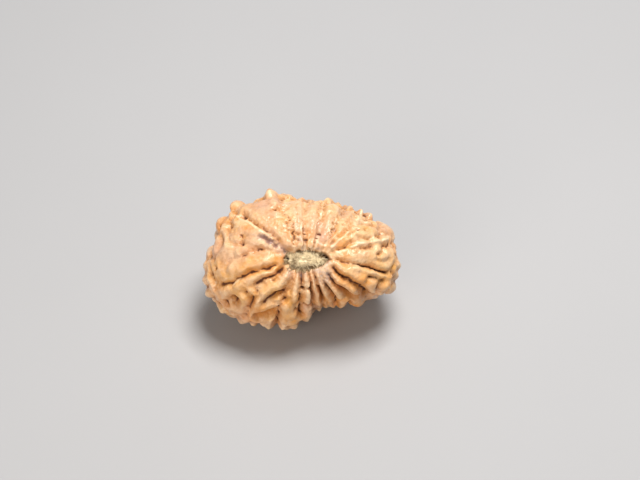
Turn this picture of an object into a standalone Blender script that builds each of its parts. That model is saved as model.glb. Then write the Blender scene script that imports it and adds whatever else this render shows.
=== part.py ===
"""A rudraksha seed: an oblong, many-faced stone that lies on one side with its stalk scar turned up.

The stone is one body. Its smooth form is a ball stretched to the seed's outline, and its folds,
furrows and pits are raised from that form by formula. On the side of the scar they follow lines
chosen by hand, and so do the knobs across the rim. Behind the rim a seeded rule draws them.

Lines and places on the scar's side are in millimetres as seen square to it: x to the right along
the seed, y up across it, from the middle of the scar.
"""

import math

import bmesh
import bpy
import numpy as np

MM = 0.001

# The smooth form. The radii are from the scar's middle to the rim, every 20 degrees from +x.
RIM_RADII = (
    *(15.2, 14.1, 11.25, 10.1, 9.5, 9.6, 11.7, 13.8, 15.2),
    *(16.3, 17.1, 14.9, 12.3, 10.5, 8.25, 8.4, 11.0, 14.8),
)
FAR_HALF_LENGTH = 14.8
FAR_HALF_WIDTH = 10.6
FRONT_DEPTH = 10.0
BACK_DEPTH = 10.4
BACK_SHOULDER = 0.08
FORM_POWER = 2.2
RIM_RISE = 0.07

# How it lies: the scar looks up at this angle above the horizon, and the lowest knobs are worn flat.
SCAR_TILT = math.radians(48)
SEAT_DEPTH = 0.8

# The slit of the scar, and the dip round it
SLIT_CENTRE = (0.1, 0.0)
SLIT_HALF_LENGTH = 4.25
SLIT_UPPER = 1.3
SLIT_LOWER = 1.75
SLIT_SKEW = 0.35
SLIT_DEPTH = 2.2
SLIT_RAGGEDNESS = 0.1
SCAR_DIP = 0.5
SCAR_DIP_RADIUS = 4.5

# How much lower folds are where they start at the slit, and how far out they reach full height,
# as shares of the slit's half-sizes
SCAR_CALM = 0.5
CALM_FROM = 0.9
CALM_TO = 1.9

# The same round the far pole, as shares of the far half-sizes
FAR_CALM = 0.6
FAR_CALM_FROM = 0.15
FAR_CALM_TO = 0.65

# The pith in the slit, in the seed's own axes
PITH_CENTRE = (-0.2, -0.18, 9.14)
PITH_HALF_SIZE = (2.6, 0.74, 0.8)
PITH_STRAND_SCALE = 0.9
PITH_CRUMB_SCALE = 0.6
PITH_ROUGHNESS = 0.14
PITH_TRIANGLES = 1600

# How folds swell and meet, and the skin between them
FOLD_FULLNESS = 1.35
FOLD_POWER = 0.55
MEETING_POWER = 7.0
SKIN_RISE = 0.45
SKIN_SCALE = 2.4
FRONT_KNOBBLE = 0.07
BACK_KNOBBLE = 0.12
KNOBBLE_SCALE = 2.2
WARP_SCALE = 2.5
FRONT_WARP = 0.05
BACK_WARP = 0.16
CROOKEDNESS = 0.08
CROOK_SCALE = 1.3
FURROW_REACH = 2.6
FURROW_CORE = 0.5
FURROW_CORE_WIDTH = 1.4
PIT_POWER = 1.5

# The folds behind the rim, which are drawn by rule, and how far round the rim's own knobs stand
SEED = 21
LANES = 20
BACK_FOCUS = 1.6
RIM_ROWS = (1.95, 2.18)
RIM_KNOBS = 26
LOBE_FALL = 1.6
SEAM_HALF_WIDTH = 0.4
SEAM_DEPTH = 0.7

STONE_TRIANGLES = 11300
CUTTER_SIZE = 60.0

# Folds on the scar's side: half-width at the start, half-width at the end, height, crest
FOLDS = (
    # low swellings that the finer folds stand on
    (2.6, 2.6, 0.75, ((-1.9, 6.6), (1.2, 6.4), (4.3, 5.9), (7.0, 4.9))),
    (1.6, 1.6, 0.65, ((-1.2, 3.6), (1.0, 3.6), (3.2, 3.4), (5.2, 2.7))),
    (2.6, 2.6, 0.75, ((-9.6, 4.0), (-12.6, 3.4), (-13.9, 0.4), (-14.4, -2.4))),
    (2.0, 2.0, 0.7, ((7.0, 0.6), (9.5, 1.6), (12.0, 1.6))),
    (2.2, 2.2, 0.6, ((-9.6, 8.0), (-6.6, 7.8))),
    (1.4, 1.4, 0.6, ((-8.2, -4.8), (-10.4, -4.6))),
    (1.3, 1.7, 0.7, ((-4.8, 3.4), (-7.2, 4.9), (-10.0, 6.4))),
    (1.0, 1.4, 0.7, ((6.2, 2.3), (9.0, 3.3), (12.0, 3.7))),
    # broad facets above the scar
    (0.7, 1.4, 1.15, ((-1.3, 2.3), (-1.55, 4.4), (-1.8, 6.6), (-1.8, 9.2))),
    (1.15, 1.15, 1.0, ((-1.8, 8.3), (-1.75, 9.3))),
    (0.6, 1.35, 1.1, ((0.6, 1.9), (0.85, 4.0), (1.1, 6.5), (1.4, 9.1))),
    (1.2, 1.25, 1.0, ((1.25, 8.2), (1.4, 9.2))),
    (0.5, 1.35, 1.1, ((2.3, 2.0), (3.0, 4.2), (3.8, 6.3), (4.7, 8.6))),
    (1.2, 1.25, 1.05, ((4.4, 7.8), (4.7, 8.6))),
    (0.45, 1.15, 1.05, ((3.6, 1.9), (5.0, 3.8), (6.5, 5.8), (7.8, 7.6))),
    (0.9, 0.9, 1.0, ((7.1, 6.9), (7.6, 7.5))),
    (0.45, 1.0, 1.05, ((4.7, 1.6), (6.4, 2.7), (8.0, 3.8), (9.4, 4.9))),
    (0.8, 1.9, 1.2, ((4.8, 0.3), (7.5, 0.5), (10.5, 0.9), (13.4, 0.6))),
    # narrow ridges of the facets' feet
    (0.3, 0.5, 1.2, ((-1.9, 1.2), (-2.6, 3.2), (-3.0, 4.9))),
    (0.3, 0.45, 1.2, ((-0.7, 1.4), (-0.85, 3.2), (-1.0, 5.7))),
    (0.25, 0.45, 1.15, ((0.15, 1.4), (0.25, 2.8), (0.3, 3.8))),
    (0.25, 0.45, 1.2, ((0.85, 1.4), (1.35, 3.4), (1.8, 6.1))),
    (0.25, 0.4, 1.15, ((1.5, 1.3), (2.1, 2.8), (2.4, 3.6))),
    (0.25, 0.4, 1.2, ((2.2, 1.2), (3.3, 3.1), (4.2, 5.3))),
    (0.25, 0.4, 1.15, ((2.8, 1.0), (4.2, 2.8), (4.9, 3.7))),
    (0.25, 0.4, 1.15, ((3.4, 0.8), (5.3, 2.7), (7.1, 4.2))),
    # upper left
    (0.8, 1.6, 1.0, ((-3.2, 2.7), (-4.2, 4.5), (-5.6, 5.9), (-7.4, 6.7), (-9.1, 7.5))),
    (1.1, 0.9, 1.25, ((-9.9, 8.0), (-11.2, 8.3))),
    (0.7, 1.3, 0.9, ((-3.3, 4.6), (-4.6, 6.4), (-5.8, 7.4))),
    (1.1, 0.7, 1.0, ((-12.4, 8.7), (-10.6, 9.0), (-8.6, 9.2), (-7.1, 9.8))),
    (0.8, 0.85, 1.95, ((-6.8, 11.3), (-6.5, 10.4))),
    (0.8, 0.9, 1.2, ((-6.4, 10.5), (-5.9, 9.6), (-5.3, 8.9))),
    (1.5, 1.5, 0.8, ((-8.6, 8.4), (-6.6, 8.6))),
    (0.35, 0.7, 0.85, ((-5.2, 3.1), (-7.2, 4.6), (-9.2, 5.9), (-11.4, 7.1))),
    (0.6, 1.7, 1.1, ((-5.6, 2.7), (-7.4, 3.9), (-9.4, 4.5), (-11.2, 5.3), (-12.6, 5.8))),
    (0.45, 0.8, 1.05, ((-4.5, 1.3), (-5.6, 2.0), (-7.0, 2.5), (-8.6, 2.95), (-10.2, 3.1))),
    (1.0, 1.0, 1.1, ((-11.4, 4.1), (-12.3, 3.6))),
    (0.9, 0.9, 1.1, ((-10.6, 1.7), (-11.6, 1.3))),
    (0.5, 0.5, 0.8, ((-5.0, 0.95), (-7.0, 0.95), (-9.4, 0.75))),
    (0.9, 0.9, 1.3, ((-14.6, 6.7), (-13.7, 7.2))),
    # left end
    (0.9, 1.45, 1.6, ((-4.2, -0.1), (-6.3, -0.4), (-8.8, -0.9), (-11.0, -1.6), (-11.9, -1.9))),
    (1.1, 1.1, 1.3, ((-12.0, -1.9), (-12.1, -2.9))),
    (1.4, 1.4, 1.3, ((-13.6, 1.4), (-14.4, 0.2), (-14.8, -1.0))),
    (1.4, 1.4, 1.2, ((-14.7, -2.2), (-13.8, -3.1))),
    (0.9, 0.9, 1.2, ((-14.5, 5.9), (-14.5, 4.7))),
    (0.6, 0.6, 1.3, ((-14.2, 5.6), (-13.8, 3.4), (-13.6, 2.0))),
    (1.0, 1.0, 1.2, ((-15.4, 3.0), (-15.8, 1.4))),
    (0.5, 0.6, 1.1, ((-16.6, -0.4), (-16.1, -1.4), (-15.9, -2.4), (-15.5, -3.3))),
    (0.7, 0.8, 1.2, ((-17.0, -0.9), (-16.9, -2.1), (-17.0, -3.4), (-16.3, -4.4), (-16.2, -5.5))),
    # lower left
    (0.55, 1.15, 1.3, ((-5.4, -1.5), (-6.4, -2.2), (-7.95, -2.7), (-9.3, -3.2), (-11.4, -4.4))),
    (0.6, 0.7, 1.25, ((-11.9, -4.9), (-13.0, -4.7), (-13.8, -5.0), (-14.6, -5.6))),
    (0.35, 0.45, 0.9, ((-4.8, -2.8), (-5.9, -3.5), (-6.9, -3.6))),
    (
        0.7,
        0.95,
        1.7,
        (
            (-2.9, -1.5),
            (-3.7, -3.2),
            (-4.8, -4.3),
            (-5.8, -4.6),
            (-6.7, -5.4),
            (-7.7, -6.4),
            (-8.6, -7.6),
            (-9.5, -8.7),
            (-10.6, -9.8),
            (-11.1, -10.5),
        ),
    ),
    (0.75, 0.75, 1.5, ((-8.2, -8.1), (-7.0, -7.6), (-5.6, -7.1), (-4.9, -6.6))),
    (0.6, 0.6, 1.6, ((-9.4, -9.9), (-7.6, -10.0), (-5.8, -9.7))),
    (0.85, 0.85, 1.3, ((-7.6, -11.1), (-6.6, -11.5))),
    (
        0.65,
        0.8,
        1.2,
        (
            (-14.8, -7.2),
            (-14.2, -6.0),
            (-13.1, -5.4),
            (-11.9, -5.6),
            (-11.0, -6.3),
            (-10.7, -7.4),
            (-11.2, -8.5),
            (-12.4, -8.6),
            (-13.6, -8.4),
        ),
    ),
    (0.6, 0.5, 1.1, ((-9.8, -4.9), (-9.0, -5.5), (-8.7, -6.4))),
    (0.5, 0.5, 1.0, ((-10.7, -7.7), (-10.0, -7.3), (-9.2, -7.0))),
    (1.0, 1.0, 1.1, ((-11.6, -9.6), (-13.0, -9.2))),
    (0.9, 0.9, 1.1, ((-15.0, -6.6), (-15.4, -5.6))),
    # fingers below the scar
    (0.7, 0.7, 0.95, ((-2.4, -2.4), (-2.9, -4.2))),
    (0.4, 0.65, 1.5, ((-1.5, -1.9), (-1.85, -4.4), (-2.15, -5.6), (-2.15, -6.4))),
    (0.6, 0.8, 1.2, ((-3.3, -5.9), (-3.4, -7.0))),
    (1.0, 1.25, 1.5, ((-3.2, -7.4), (-3.5, -8.6), (-3.2, -9.6), (-2.9, -10.7))),
    (0.75, 0.75, 1.3, ((-4.4, -9.0), (-4.2, -11.1))),
    (0.7, 0.7, 1.3, ((-2.4, -9.2), (-2.4, -11.1))),
    (0.35, 0.5, 1.5, ((-0.3, -2.0), (-0.2, -4.1))),
    (0.42, 0.55, 1.5, ((-0.2, -5.2), (-0.2, -6.9))),
    (0.75, 0.6, 1.5, ((-0.2, -8.3), (-0.4, -9.3), (-0.6, -10.4))),
    (0.35, 0.55, 1.45, ((0.7, -2.0), (1.15, -4.15), (1.5, -5.6), (1.75, -6.9))),
    (0.65, 0.6, 0.9, ((1.9, -7.4), (2.1, -8.2))),
    (0.38, 0.75, 1.35, ((1.7, -1.8), (2.6, -3.75), (3.35, -5.3), (4.0, -6.4))),
    (0.65, 0.65, 1.0, ((4.1, -6.9), (4.4, -7.7))),
    (0.5, 0.5, 1.3, ((3.1, -6.9), (3.7, -8.0))),
    (0.38, 0.75, 1.4, ((2.6, -1.6), (3.9, -3.6), (5.2, -4.8), (6.0, -5.8))),
    (0.9, 0.75, 1.4, ((6.8, -6.5), (6.6, -7.4))),
    (0.95, 0.85, 1.35, ((8.2, -6.5), (9.0, -6.8), (9.3, -7.1))),
    # right end
    (0.35, 0.75, 1.5, ((3.3, -1.2), (5.1, -3.1), (6.5, -3.9), (7.8, -4.7), (9.3, -5.2))),
    (0.4, 1.1, 1.5, ((3.8, -0.5), (5.5, -1.3), (6.7, -2.0), (7.8, -2.8), (9.3, -3.2))),
    (0.5, 0.7, 1.3, ((7.4, -1.4), (8.6, -1.7), (10.2, -2.2), (11.5, -2.6), (13.0, -3.1), (14.5, -2.95))),
    (1.1, 1.0, 1.3, ((11.1, -4.1), (11.5, -5.0))),
    (0.95, 0.9, 1.3, ((13.3, -4.5), (14.0, -4.2))),
    (
        0.6,
        0.6,
        1.2,
        ((11.5, -0.8), (12.6, -1.2), (13.6, -1.3), (14.4, -1.0), (14.7, -0.2), (14.6, 1.0), (14.4, 2.0)),
    ),
    (0.5, 0.5, 1.1, ((15.2, 0.3), (15.3, -1.0), (15.2, -2.3))),
    (0.7, 0.9, 0.85, ((7.9, 5.3), (8.8, 6.4), (9.5, 7.2))),
    (0.9, 0.9, 0.95, ((9.3, 5.2), (10.4, 5.0), (11.6, 4.7))),
    (0.9, 0.9, 1.1, ((11.6, 3.9), (12.9, 3.5), (13.9, 2.9))),
    (0.8, 0.8, 0.95, ((9.2, 4.0), (10.8, 3.7))),
    (0.6, 0.75, 1.0, ((7.4, 1.95), (8.9, 2.5), (10.4, 2.75), (12.2, 3.1), (13.8, 3.3))),
    (0.8, 0.8, 1.0, ((9.6, 1.4), (11.2, 1.2), (12.4, 1.6))),
    (0.6, 0.6, 1.1, ((11.2, 0.2), (12.4, 0.4), (13.4, 0.8))),
)

# Knobs across the rim, in the order of the outline: azimuth in degrees, half-width, height
LOBES = (
    (10, 1.1, 1.0),
    (20, 1.1, 1.35),
    (32.5, 0.6, 1.6),
    (38, 0.6, 1.5),
    (47.5, 0.85, 1.4),
    (64, 1.25, 1.55),
    (82, 1.25, 1.05),
    (99, 1.15, 1.4),
    (109.5, 0.75, 1.5),
    (115, 0.8, 1.9),
    (126, 0.75, 0.4),
    (144.5, 1.1, 2.0),
    (158.5, 1.15, 1.75),
    (177, 1.1, 1.2),
    (186, 1.15, 1.55),
    (192.5, 0.8, 1.45),
    (198.5, 0.65, 1.35),
    (207.5, 0.75, 1.45),
    (216, 0.95, 1.1),
    (227, 0.65, 1.4),
    (240, 0.8, 1.5),
    (250.5, 0.75, 1.8),
    (258, 0.8, 1.75),
    (268, 0.65, 1.2),
    (283.5, 0.6, 1.15),
    (298, 0.75, 1.7),
    (310, 0.85, 1.2),
    (321, 1.0, 1.25),
    (330, 0.8, 0.4),
    (342, 1.0, 1.2),
    (353.5, 1.2, 1.15),
)

# Furrows on the scar's side: half-width, depth, line
FURROWS = (
    (0.26, 0.45, ((-10.2, 6.7), (-9.1, 6.0), (-8.15, 5.4), (-7.1, 4.9), (-5.7, 4.0), (-4.7, 3.2))),
    (0.3, 0.5, ((-7.7, 3.6), (-6.3, 3.0), (-4.9, 2.2), (-3.6, 1.35))),
    (0.28, 0.9, ((-5.1, -1.0), (-6.4, -1.4), (-7.75, -1.75), (-9.2, -2.3), (-10.6, -2.8), (-11.85, -3.3))),
    (0.28, 0.8, ((-12.3, -3.9), (-13.6, -4.25), (-14.5, -4.45))),
    (0.28, 0.8, ((-4.15, -1.75), (-4.7, -2.3), (-5.7, -2.8), (-6.4, -3.0), (-7.55, -3.4), (-8.25, -3.9))),
    (0.24, 0.5, ((-4.9, -3.0), (-6.1, -4.0))),
    (0.3, 0.85, ((-7.4, -7.0), (-6.6, -6.3), (-5.4, -5.9), (-4.5, -5.5), (-3.9, -5.4))),
    (0.28, 0.5, ((-6.9, -6.95), (-5.2, -6.75))),
    (0.4, 1.2, ((-8.8, -9.3), (-7.2, -9.35), (-5.8, -9.0))),
    (0.34, 1.1, ((-9.2, -6.6), (-9.7, -8.0), (-10.7, -9.5))),
    (0.46, 1.25, ((-4.8, -8.5), (-5.2, -10.1), (-5.2, -11.3))),
    (0.34, 0.75, ((-8.9, -6.5), (-8.05, -6.1))),
    (0.34, 0.75, ((-10.8, -8.25), (-9.5, -7.8))),
    (0.3, 0.6, ((-13.7, 7.0), (-13.3, 6.2), (-13.1, 5.2))),
    (0.26, 0.4, ((7.2, -1.0), (9.0, -1.0), (11.0, -1.35))),
    (0.28, 0.75, ((11.0, -1.35), (12.2, -1.9), (13.1, -2.3), (15.0, -2.6))),
    (0.26, 0.35, ((5.1, -0.35), (7.2, -0.6))),
    (
        0.32,
        1.05,
        ((4.7, -1.5), (5.2, -2.3), (6.25, -2.85), (7.4, -3.35), (8.5, -3.9), (9.8, -4.8), (10.7, -6.0)),
    ),
    (0.32, 0.95, ((3.9, -2.3), (4.5, -3.6), (5.2, -4.15), (6.4, -4.8), (8.2, -6.0), (9.7, -5.7))),
    (0.57, 1.5, ((9.4, -4.7), (10.1, -5.4), (10.7, -6.2))),
    (0.34, 1.0, ((7.5, -6.7), (7.8, -7.7))),
    (0.3, 0.8, ((5.4, -7.4), (5.5, -8.3))),
    (0.24, 0.45, ((3.4, -3.75), (3.75, -4.5), (4.3, -5.4), (5.0, -6.6), (5.2, -7.6))),
    (0.22, 0.7, ((2.05, -4.3), (2.35, -5.1), (2.6, -5.85), (2.9, -6.9), (3.1, -7.8))),
    (0.22, 0.7, ((0.5, -3.75), (0.5, -5.1), (0.6, -6.4), (0.8, -7.4))),
    (0.3, 0.85, ((-1.2, -5.9), (-1.2, -7.7), (-1.35, -9.3))),
    (0.34, 0.75, ((5.2, -6.5), (6.4, -6.25))),
    (0.4, 1.25, ((12.3, -4.6), (12.3, -5.9))),
    (0.34, 0.75, ((10.9, -3.0), (12.0, -3.2), (13.2, -3.7))),
    (0.3, 0.35, ((5.2, 1.5), (7.9, 2.9))),
    (0.3, 0.5, ((8.8, 3.5), (10.6, 3.3))),
    (0.34, 0.75, ((9.4, 1.75), (10.3, 1.65), (11.1, 2.05))),
    (0.34, 0.75, ((12.0, 0.7), (12.9, 1.05), (13.1, 1.9))),
    (0.34, 0.88, ((13.5, 1.95), (14.4, 2.4))),
    (0.24, 0.4, ((11.8, -0.3), (13.4, -0.3), (13.9, 0.15))),
    (0.34, 0.88, ((13.1, 4.9), (13.25, 4.1), (11.9, 3.65))),
    (0.34, 0.75, ((9.9, 5.9), (10.9, 5.8))),
)

# Pits on the scar's side: x, y, radius, depth
PITS = (
    (-10.8, 7.3, 1.0, 0.9),
    (-11.85, 6.6, 0.5, 0.4),
    (-5.6, 8.0, 0.4, 0.6),
    (-4.5, 7.7, 0.35, 0.6),
    (-4.2, 8.9, 0.3, 0.5),
    (-9.0, 1.3, 0.8, 0.4),
    (-8.2, 1.45, 0.85, 0.5),
    (-7.5, 1.55, 0.6, 0.35),
    (-11.1, 2.6, 0.6, 0.45),
    (-9.6, 5.1, 0.7, 0.25),
    (-10.4, 5.0, 0.7, 0.25),
    (-15.3, -1.75, 0.4, 0.8),
    (-13.75, -7.75, 0.4, 0.9),
    (-14.0, -7.1, 0.35, 0.7),
    (-12.4, -7.0, 1.1, 0.9),
    (-10.2, -5.55, 0.35, 0.6),
    (-8.3, -4.0, 0.5, 0.7),
    (-1.6, 4.0, 0.35, 0.6),
    (-1.5, 3.0, 0.3, 0.5),
    (-2.0, 7.2, 0.5, 0.3),
    (3.9, 7.45, 0.45, 0.4),
    (6.1, 5.45, 0.4, 0.4),
    (8.7, 4.6, 0.35, 0.6),
    (10.0, 4.65, 0.35, 0.5),
    (8.4, 1.0, 0.3, 0.35),
    (-0.8, -4.8, 0.35, 0.7),
    (-2.3, -8.3, 0.4, 0.7),
    (-3.6, -10.9, 0.6, 0.5),
    (-3.9, -6.5, 0.9, 0.9),
    (-5.4, 8.5, 0.8, 0.5),
)


def clear_scene():
    for existing in list(bpy.data.objects):
        bpy.data.objects.remove(existing, do_unlink=True)


def collection(name):
    made = bpy.data.collections.new(name)
    bpy.context.scene.collection.children.link(made)
    return made


def material(name, colour, roughness):
    made = bpy.data.materials.new(name)
    made.use_nodes = True
    shader = made.node_tree.nodes["Principled BSDF"]
    shader.inputs["Base Color"].default_value = (*colour, 1.0)
    shader.inputs["Roughness"].default_value = roughness
    shader.inputs["Metallic"].default_value = 0.0
    return made


def smooth_step(low, high, values):
    share = np.clip((values - low) / (high - low), 0.0, 1.0)
    return share * share * (3.0 - 2.0 * share)


def curve_through(points, steps, closed=False):
    """A smooth curve through the points, with this many steps from each one to the next."""
    points = np.asarray(points, float)
    if closed:
        padded = np.concatenate([points[-1:], points, points[:2]])
    else:
        padded = np.concatenate([points[:1], points, points[-1:]])
    share = np.arange(steps)[:, None] / steps
    pieces = []
    for a, b, c, d in zip(padded, padded[1:], padded[2:], padded[3:]):
        bend = 2 * a - 5 * b + 4 * c - d
        twist = 3 * b - a - 3 * c + d
        pieces.append(b + 0.5 * ((c - a) * share + bend * share**2 + twist * share**3))
    if not closed:
        pieces.append(points[-1:])
    return np.concatenate(pieces)


def rim_radius(azimuth):
    """The rim's distance from the scar's axis, at azimuths in radians."""
    radii = curve_through(np.array(RIM_RADII)[:, None], 20, closed=True)[:, 0]
    turns = np.arange(len(radii)) * 2 * math.pi / len(radii)
    return np.interp(azimuth, turns, radii, period=2 * math.pi)


def form_points(azimuth, fall):
    """Points on the smooth form. The fall is 0 at the scar, pi/2 at the rim and pi at the far pole."""
    near = rim_radius(azimuth)
    far = 1.0 / np.hypot(np.cos(azimuth) / FAR_HALF_LENGTH, np.sin(azimuth) / FAR_HALF_WIDTH)
    radius = near + 0.5 * (far - near) * smooth_step(1.6, 2.6, fall)
    radius = radius * (1.0 - BACK_SHOULDER * smooth_step(1.55, 1.85, fall))
    across = np.abs(np.sin(fall)) ** (2 / FORM_POWER)
    along = np.sign(np.cos(fall)) * np.abs(np.cos(fall)) ** (2 / FORM_POWER)
    depth = np.where(fall < math.pi / 2, FRONT_DEPTH, BACK_DEPTH)
    x = radius * across * np.cos(azimuth)
    y = radius * across * np.sin(azimuth)
    dip = SCAR_DIP * np.exp(-((np.hypot(x, y) / SCAR_DIP_RADIUS) ** 2))
    z = depth * along - dip * np.sign(along)
    return np.stack([x, y, z], axis=-1)


def face_points(places):
    """Points on the smooth form under places on the scar's side.

    Folds lean outward towards the rim, so the places under them draw in."""
    places = np.asarray(places, float)
    azimuth = np.arctan2(places[:, 1], places[:, 0])
    reach = np.hypot(places[:, 0], places[:, 1])
    share = np.clip(reach / (rim_radius(azimuth) * (1.0 + RIM_RISE)), 0.0, 0.995)
    share = np.clip(share * (1.0 + RIM_RISE * (1.0 - share**2)), 0.0, 0.998)
    return form_points(azimuth, np.arcsin(share ** (FORM_POWER / 2)))


def ripple(points, scale, seed, waves=28):
    """Smooth noise of about unit size, as a sum of seeded waves of this length."""
    rng = np.random.default_rng(seed)
    direction = rng.normal(size=(waves, 3))
    direction /= np.linalg.norm(direction, axis=1)[:, None]
    number = direction * (2 * math.pi / (scale * rng.uniform(0.7, 1.5, waves)))[:, None]
    phase = rng.uniform(0, 2 * math.pi, waves)
    return np.sin(points @ number.T + phase).sum(axis=1) * math.sqrt(2.0 / waves)


def ripples(points, scale, seed):
    """The same noise for each of the three axes."""
    return np.stack([ripple(points, scale, seed + axis) for axis in range(3)], axis=-1)


def line_distance(points, line):
    """Each point's distance to a line, and how far along the line it is nearest, from 0 to 1."""
    step = line[1:] - line[:-1]
    length = np.linalg.norm(step, axis=1)
    begun = np.concatenate([[0.0], np.cumsum(length)])
    best = np.full(len(points), np.inf)
    along = np.zeros(len(points))
    for i in range(len(step)):
        share = np.clip((points - line[i]) @ step[i] / length[i] ** 2, 0.0, 1.0)
        gap = np.linalg.norm(points - line[i] - share[:, None] * step[i], axis=1)
        nearer = gap < best
        best[nearer] = gap[nearer]
        along[nearer] = ((begun[i] + share * length[i]) / begun[-1])[nearer]
    return best, along


def near_line(points, line, reach):
    """The indices of the points that can be within reach of the line."""
    middle = line.mean(axis=0)
    radius = np.linalg.norm(line - middle, axis=1).max() + reach
    return np.nonzero(((points - middle) ** 2).sum(axis=1) < radius**2)[0]


def raise_fold(total, points, line, widths, height):
    """Adds one round-topped, steep-sided fold to the sum that joins folds where they meet."""
    widths = np.array(widths) * FOLD_FULLNESS
    index = near_line(points, line, widths.max())
    gap, along = line_distance(points[index], line)
    width = widths[0] + (widths[1] - widths[0]) * along
    rise = height * np.clip(1.0 - (gap / width) ** 2, 0.0, None) ** FOLD_POWER
    total[index] += rise**MEETING_POWER


def cut_furrow(cut, points, line, width, depth):
    """Deepens the cut to that of one furrow, narrow at the bottom and with wide shoulders."""
    reach = FURROW_REACH * width
    index = near_line(points, line, reach)
    gap, _ = line_distance(points[index], line)
    core = np.clip(1.0 - (gap / (FURROW_CORE_WIDTH * width)) ** 2, 0.0, None) ** 2
    shoulder = np.clip(1.0 - (gap / reach) ** 2, 0.0, None) ** 2
    cut[index] = np.maximum(cut[index], depth * (FURROW_CORE * core + (1.0 - FURROW_CORE) * shoulder))


def far_azimuth(turn, falls):
    """Azimuths of lines on the far side that leave its short slit square to it and fan out."""
    reach = np.maximum(FAR_HALF_WIDTH * np.sin(falls) / BACK_FOCUS, 1.001)
    return np.angle(np.cosh(np.arccosh(reach) + 1j * turn))


def far_fingers(rng):
    """Folds that leave the far pole, two to a lane, and the seams between lanes."""
    folds, seams = [], []
    for lane in range(LANES):
        turn = 2 * math.pi * (lane + rng.uniform(-0.1, 0.1)) / LANES
        for side in (-1, 1):
            begin = 0.3 if side < 0 else rng.uniform(0.5, 0.8)
            steps = np.linspace(begin, rng.uniform(1.2, 1.5), 6)
            wander = np.cumsum(rng.normal(0, 0.015, 6))
            split = side * 0.25 * smooth_step(0.3, 1.3, steps) * 2 * math.pi / LANES
            azimuth = far_azimuth(turn + wander + split, steps)
            line = form_points(azimuth, math.pi - steps)
            folds.append((line, (0.5, rng.uniform(0.8, 1.1)), rng.uniform(1.1, 1.6)))
        steps = np.linspace(0.3, 1.75, 7)
        azimuth = far_azimuth(turn + math.pi / LANES + rng.normal(0, 0.01, 7), steps)
        seams.append(form_points(azimuth, math.pi - steps))
    return folds, seams


def rim_lobes(rng):
    """The knobs across the rim. Each fold is (line, half-widths, height)."""
    folds = []
    for turn, half_width, height in LOBES:
        length = rng.uniform(0.06, 0.16)
        lean = rng.uniform(-0.3, 0.3) * length
        azimuths = math.radians(turn) + np.array([-lean, 0.0, lean])
        falls = LOBE_FALL + np.array([-length, 0.0, length])
        folds.append((form_points(azimuths, falls), (half_width, half_width), height))
    return folds


def rim_knobs(rng):
    """Knobs in rows behind those, round the hidden half of the rim."""
    folds = []
    for row, fall in enumerate(RIM_ROWS):
        count = RIM_KNOBS - 3 * row
        for place in range(count):
            azimuth = 2 * math.pi * (place + 0.5 * (row % 2) + rng.uniform(-0.3, 0.3)) / count
            length = rng.uniform(0.01, 0.12)
            lean = rng.uniform(-0.6, 0.6) * length
            azimuths = azimuth + np.array([-lean, 0.0, lean])
            falls = fall + rng.uniform(-0.06, 0.06) + np.array([-length, 0.0, length])
            widths = rng.uniform(0.8, 1.25) * np.array([1.0, rng.uniform(0.7, 1.0)])
            folds.append((form_points(azimuths, falls), widths, rng.uniform(0.8, 1.4)))
    return folds


def slit_depth(points):
    """How deep the scar's slit is cut under each point. It is a lens, fuller below than above."""
    x = (points[:, 0] - SLIT_CENTRE[0]) / SLIT_HALF_LENGTH
    y = points[:, 1] - SLIT_CENTRE[1]
    lens = np.clip(1.0 - x**2, 0.0, None)
    half = np.where(y > 0, SLIT_UPPER, SLIT_LOWER * (1.0 - SLIT_SKEW * x)) * lens
    across = np.abs(y) / np.maximum(half, 1e-6)
    depth = SLIT_DEPTH * np.clip(1.0 - across**2, 0.0, None) ** 0.3 * lens**0.3
    return np.where(points[:, 2] > 0, depth, 0.0)


def pole_calm(points):
    """The share of their height that folds keep, which is less round the slit and the far pole."""
    x, y, z = points.T
    near = np.hypot((x - SLIT_CENTRE[0]) / SLIT_HALF_LENGTH, y / np.where(y > 0, SLIT_UPPER, SLIT_LOWER))
    far = np.hypot(x / FAR_HALF_LENGTH, y / FAR_HALF_WIDTH)
    near_calm = SCAR_CALM * (1.0 - smooth_step(CALM_FROM, CALM_TO, near))
    far_calm = FAR_CALM * (1.0 - smooth_step(FAR_CALM_FROM, FAR_CALM_TO, far))
    return 1.0 - np.where(z > 0, near_calm, far_calm)


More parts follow.
